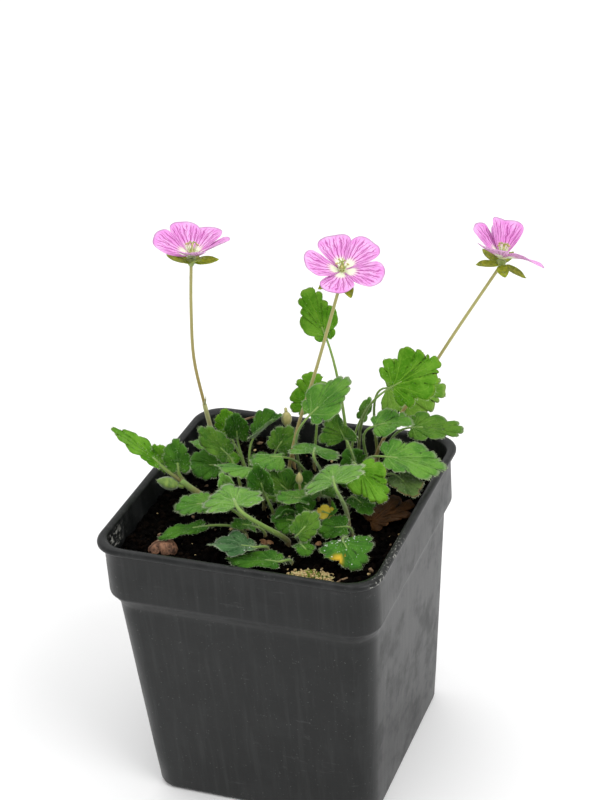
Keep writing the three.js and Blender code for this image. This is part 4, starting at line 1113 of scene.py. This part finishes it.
def make_drops(leaves):
    """Beads of water on a leaf's upper side."""
    bm = bmesh.new()
    chance = random.Random(21)
    for place, count in leaves.items():
        leaf = LEAVES[place]
        stand = blade_stand(leaf.joint, leaf.tip, leaf.face)
        for _ in range(count):
            edge = blade_edge(chance.random(), leaf)
            v = chance.uniform(0.2, 0.9)
            x, y = edge.x * v, edge.y * v
            size = chance.choice((0.07, 0.09, 0.12, 0.2))
            here = stand @ Vector((x, y, blade_height(x, y, v, leaf) + 0.25 + size * 0.3))
            spot = stand @ Matrix.Diagonal((1, 1, 0.7, 1))
            spot.translation = here
            bmesh.ops.create_icosphere(bm, subdivisions=2, radius=size, matrix=spot)
    for face in bm.faces:
        face.smooth = True
    # The drops' pale finish is a painted glint.
    piece("dew_drops", bm, [DEW.material], None)


def make_small_bud():
    """A closed bud low among the leaves."""
    bm = bmesh.new()
    foot = Vector((6.4, 0.2, soil_height(6.4, 0.2)))
    path = through([foot, foot + UP * 5, (6.2, -0.2, 99.2)])
    tube(bm, path, lambda v: 0.42)
    roots = bud(bm, path[-1], (6.6, -0.4, 103.4), 1.1, 4.4, 1)
    hairs(bm, roots, 0.5, 0.025, 2, 15)
    piece("small_flower_bud", bm, [FLOWER_STALK, YELLOW_BUD, DOWN], "bud")


NODDING_PATH = [(-6.2, 25, 98), (-6.4, 24, 107), (-6, 22.5, 111.5), (-5.2, 20.8, 111.5)]


def make_nodding_bud():
    bm = bmesh.new()
    path = through([*rooted((-6, 26)), *NODDING_PATH])
    tube(bm, path, lambda v: 0.6 - 0.1 * v)
    roots = stalk_hairs(path, 0.5, 70, 12)
    roots += bud(bm, NODDING_PATH[-1], (-4.6, 19.5, 106.5), 1.7, 5.2, 1)
    hairs(bm, roots, 0.6, 0.03, 2, 13)
    piece("nodding_flower_bud", bm, [FLOWER_STALK, YELLOW_BUD, DOWN], "bud", "nodding_bud")


# Flowers

PETAL_LENGTH = 12.6
PETAL_WIDTH = 11.6
SEPAL_LENGTH = 8.4
SEPAL_WIDTH = 3.4
FLOWERS = {
    "left": dict(
        foot=(-32, 23),
        path=[(-32.5, 22, 100), (-33, 20, 111), (-35.6, 21, 127), (-35.2, 22, 145)],
        top=(-33.5, 22, 160.9),
        axis=(0.05, 0.24, 0.92),
        turns=(7, 73, 135, 213, 289),
        lifts=(33, 42, 46, 27, 19),
        twists=(4, 0, 0, -36, 0),
        curls=(0.05, 0.08, 0.03, 0.06, 0.05),
        sepal_turn=-3,
        sepal_lifts=(9, 8, 8, 14, 22),
        sepal_rolls=(32, 0, -32, -26, 20),
        node=(-33, 20, 112),
    ),
    "middle": dict(
        foot=(-1.2, 7.6),
        path=[(-0.5, 8.5, 98.5), (2.85, 11, 113.6), (8.9, 14, 132.6)],
        top=(19.1, 14.2, 165.3),
        axis=(0.16, -0.39, 0.91),
        turns=(354, 62, 122, 211, 279),
        lifts=(16, 12, 10, 36, 25),
        twists=(0, 0, 0, 0, 0),
        curls=(0.1, 0.06, 0.1, 0.05, 0.08),
        sepal_turn=-19,
        sepal_lifts=(0, 0, 0, -2, -4),
        sepal_rolls=(0, 0, 0, 0, 0),
    ),
    "right": dict(
        foot=(19.5, 32),
        path=[(20, 32.1, 92), (24, 33, 101), (33, 35.5, 115), (46, 39, 137)],
        top=(59.5, 44, 159.6),
        axis=(0.11, 0.29, 0.92),
        turns=(345, 99, 124, 205, 261),
        lifts=(22, 58, 62, 44, 24),
        twists=(-16, -14, 30, -26, 0),
        curls=(0.42, 0.02, 0.04, 0.05, 0.1),
        sepal_turn=-28,
        sepal_lifts=(-20, 23, 20, -5, -17),
        sepal_rolls=(24, 0, -24, -24, 20),
    ),
}


def petal_edge(phi):
    """The margin of a petal, x to its tip: broad and faintly notched there, narrow at the claw."""
    c = cos(phi)
    reach = 0.4 if c > 0 else 0.6
    narrowing = 1 - 0.64 * (0.5 - 0.5 * c) ** 2
    dent = 1 - (0.05 * exp(-((sin(phi) / 0.3) ** 2)) if c > 0 else 0)
    across = PETAL_WIDTH / 2 * sin(phi) * narrowing
    return Vector((PETAL_LENGTH * (0.6 + reach * c * dent), across))


def flower_stand(flower):
    stand = UP.rotation_difference(Vector(flower["axis"])).to_matrix().to_4x4()
    stand.translation = Vector(flower["top"])
    return stand


def petal_stem(stand, turn, root, lift, roll):
    """Where a petal or sepal starts, turned about the flower, lifted and rolled by degrees."""
    stem = stand @ spin("Z", radians(turn)) @ Matrix.Translation(root)
    return stem @ spin("Y", -radians(lift)) @ spin("X", radians(roll))


def make_corolla(place, flower, seed):
    bm = bmesh.new()
    stand = flower_stand(flower)
    petals = zip(flower["turns"], flower["lifts"], flower["twists"], flower["curls"])
    for i, (turn, lift, twist, curl) in enumerate(petals):
        stem = petal_stem(stand, turn, (0.9, 0, 1.6), lift, twist)

        def on_petal(u, v, stem=stem, curl=curl, i=i):
            x, y = petal_edge(pi * (2 * u - 1) * 0.9999) * v
            height = 0.035 * y * y - curl * PETAL_LENGTH * (x / PETAL_LENGTH) ** 2
            grooves = 0.09 * cos(13 * 2 * pi * u) * sin(pi * v)
            frill = 0.45 * v**4 * noise.noise(Vector((u * 9, i * 5.1 + seed, 0)))
            return stem @ Vector((x, y, height + grooves + frill)), stem.to_3x3() @ UP

        blade(bm, 60, 14, on_petal, 0.3)
    lathe(bm, [(0, 1.15), (1.4, 1.2), (1.5, 1.6), (1.1, 1.85), (0, 1.9)], stand, 20, 2)
    finishes = [PETAL_FACE, PETAL_BACK, FILAMENT]
    piece(f"petals_{place}", bm, finishes, "petal", f"corolla_{place}")


def make_stamens(place, flower, seed):
    """Five stamens round a column with five spreading stigmas, and five short ones between."""
    bm = bmesh.new()
    stand = flower_stand(flower)
    chance = random.Random(seed)
    column = [(0, 1.7), (0.8, 1.8), (0.95, 2.6), (0.75, 3.4), (0.35, 4.0), (0.28, 5.0), (0, 5.1)]
    lathe(bm, column, stand, 12, 2)
    for i in range(10):
        around = stand @ spin("Z", i / 10 * 2 * pi + chance.uniform(-0.15, 0.15))
        tall = chance.uniform(4.6, 5.3) if i % 2 == 0 else chance.uniform(3.0, 3.4)
        lean = chance.uniform(1.3, 2.0)
        points = [(0.55, 0, 1.9), (0.95, 0, 3.0), (lean, 0, tall)]
        path = through([around @ Vector(p) for p in points], 4)
        tube(bm, path, lambda v: 0.2 - 0.11 * v, 6, 0)
        if i % 2 == 0:
            anther = around @ Matrix.Translation((lean + 0.1, 0, tall + 0.1))
            anther = anther @ spin("Y", chance.uniform(0.2, 1.2))
            anther = anther @ Matrix.Diagonal((1.3, 0.7, 0.6, 1))
            first = len(bm.faces)
            bmesh.ops.create_icosphere(bm, subdivisions=2, radius=0.42, matrix=anther)
            bm.faces.ensure_lookup_table()
            for face in bm.faces[first:]:
                face.material_index, face.smooth = 1, True
    for i in range(5):
        around = stand @ spin("Z", (i + 0.3) / 5 * 2 * pi)
        points = [(0.1, 0, 4.6), (0.35, 0, 5.5), (0.95, 0, 5.9), (1.25, 0, 5.6)]
        tube(bm, through([around @ Vector(p) for p in points], 3), lambda v: 0.2 - 0.08 * v, 6, 2)
    finishes = [FILAMENT, ANTHER, STIGMA]
    piece(f"flower_centre_{place}", bm, finishes, "stamens", f"stamens_and_stigmas_{place}")


def sepal_half(v):
    return SEPAL_WIDTH / 2 * (0.55 + 1.9 * v - 1.4 * v * v) * (1 - v**4) * min(1, 6 * v)


def make_stalk(place, flower, seed):
    bm = bmesh.new()
    end = Vector(flower["top"]) - Vector(flower["axis"]).normalized()
    path = through([*rooted(flower["foot"]), *flower["path"], end])
    tube(bm, path, lambda v: 0.58 - 0.08 * v, 10, 0)
    roots = stalk_hairs(path, 0.5, 150, seed)
    stand = flower_stand(flower)
    cup = [(0, -1.9), (0.6, -1.8), (0.9, -1.3), (1.35, -0.3), (1.5, 0.5), (1.2, 0.75), (0, 0.8)]
    lathe(bm, cup, stand, 20, 2, ribs=5, depth=0.06)
    for i, (lift, roll) in enumerate(zip(flower["sepal_lifts"], flower["sepal_rolls"])):
        turn = flower["sepal_turn"] + 72 * i + 36
        stem = petal_stem(stand, turn, (0.5, 0, -0.7), lift, roll)

        def on_sepal(u, v, stem=stem):
            across, thick = cos(2 * pi * u), sin(2 * pi * u)
            x, y = v * SEPAL_LENGTH, sepal_half(v) * across
            height = 0.12 * y * y + 0.06 * x - 0.006 * x * x + 0.05 * cos(5 * y)
            return stem @ Vector((x, y, height + 0.16 * thick * min(1, 4 * v, 8 * (1 - v))))

        sepal = sheet(bm, 20, 14, on_sepal, 1)
        bm.normal_update()
        roots += over_faces(sepal, 30, seed + i)
    if "node" in flower:
        node = Vector(flower["node"])
        near = min(range(len(path)), key=lambda i: (path[i] - node).length)
        tube(bm, path[3 : near + 1], lambda v: 0.85 - 0.1 * v, 10, 3)
        joint = path[near]
        tip = joint + Vector((1.4, -1.4, 4.2))
        scale = bend(joint, joint + UP, tip - UP * 2, tip, 6)
        tube(bm, scale, lambda v: 0.55 * (1 - v) + 0.05, 6, 3)
    hairs(bm, roots, 0.6, 0.028, 4, seed + 20)
    finishes = [FLOWER_STALK, SEPAL, SEPAL_CUP, SHEATH, DOWN]
    piece(f"flower_stalk_{place}", bm, finishes, "stalk", f"stalk_and_calyx_{place}")


def make_flowers():
    for seed, (place, flower) in enumerate(FLOWERS.items()):
        make_stalk(place, flower, seed)
        make_corolla(place, flower, seed)
        make_stamens(place, flower, seed)


# The camera, the light and the floor

CAMERA_AT = (0.202306, -0.47151, 0.407649)
CAMERA_YAW, CAMERA_PITCH, CAMERA_ROLL = 0.385434, -0.500808, 0.071347
FOCAL_PIXELS, PHOTO_HEIGHT = 1927.86, 800


def make_camera():
    data = bpy.data.cameras.new("camera")
    data.sensor_width = 36
    data.lens = FOCAL_PIXELS / PHOTO_HEIGHT * data.sensor_width
    data.clip_start, data.clip_end = 0.01, 20
    camera = show("camera", data)
    turn = spin("Z", CAMERA_YAW) @ spin("X", pi / 2 + CAMERA_PITCH)
    turn = turn @ spin("Z", -CAMERA_ROLL)
    camera.matrix_world = Matrix.Translation(CAMERA_AT) @ turn
    bpy.context.scene.camera = camera


def soft_light(name, place, target, size, power):
    data = bpy.data.lights.new(name, "AREA")
    data.shape, data.size, data.energy = "SQUARE", size, power
    light = show(name, data)
    light.location = place
    light.rotation_euler = (Vector(target) - Vector(place)).to_track_quat("-Z", "Y").to_euler()


def make_studio():
    bm = bmesh.new()
    bmesh.ops.create_grid(bm, x_segments=1, y_segments=1, size=6)
    paper = Finish("pale paper", Base_Color=rgb(0.95, 0.95, 0.95), Roughness=0.9)
    floor = show_mesh("floor", bm, [paper.material])
    floor.location.z = -0.3 * MM
    world = bpy.data.worlds.new("soft room")
    world.use_nodes = True
    room = world.node_tree.nodes["Background"].inputs
    room["Color"].default_value, room["Strength"].default_value = (1, 1, 1, 1), 0.92
    bpy.context.scene.world = world
    soft_light("window", (0.9, -0.3, 1.1), (0, 0, 0.1), 0.8, 7)
    soft_light("overhead", (-0.3, 0.2, 1.3), (0, 0, 0.1), 1.0, 3.5)
    bpy.context.scene.view_settings.view_transform = "Standard"


make_camera()
make_pot()
make_soil()
make_bark_chip()
make_moss()
make_leaves()
make_low_leaves()
make_dead_leaf()
make_shoot()
make_nodding_bud()
make_small_bud()
make_scales()
make_twigs()
make_drops({"right_8": 46, "front_1": 8, "front_4": 8})
make_flowers()
make_studio()
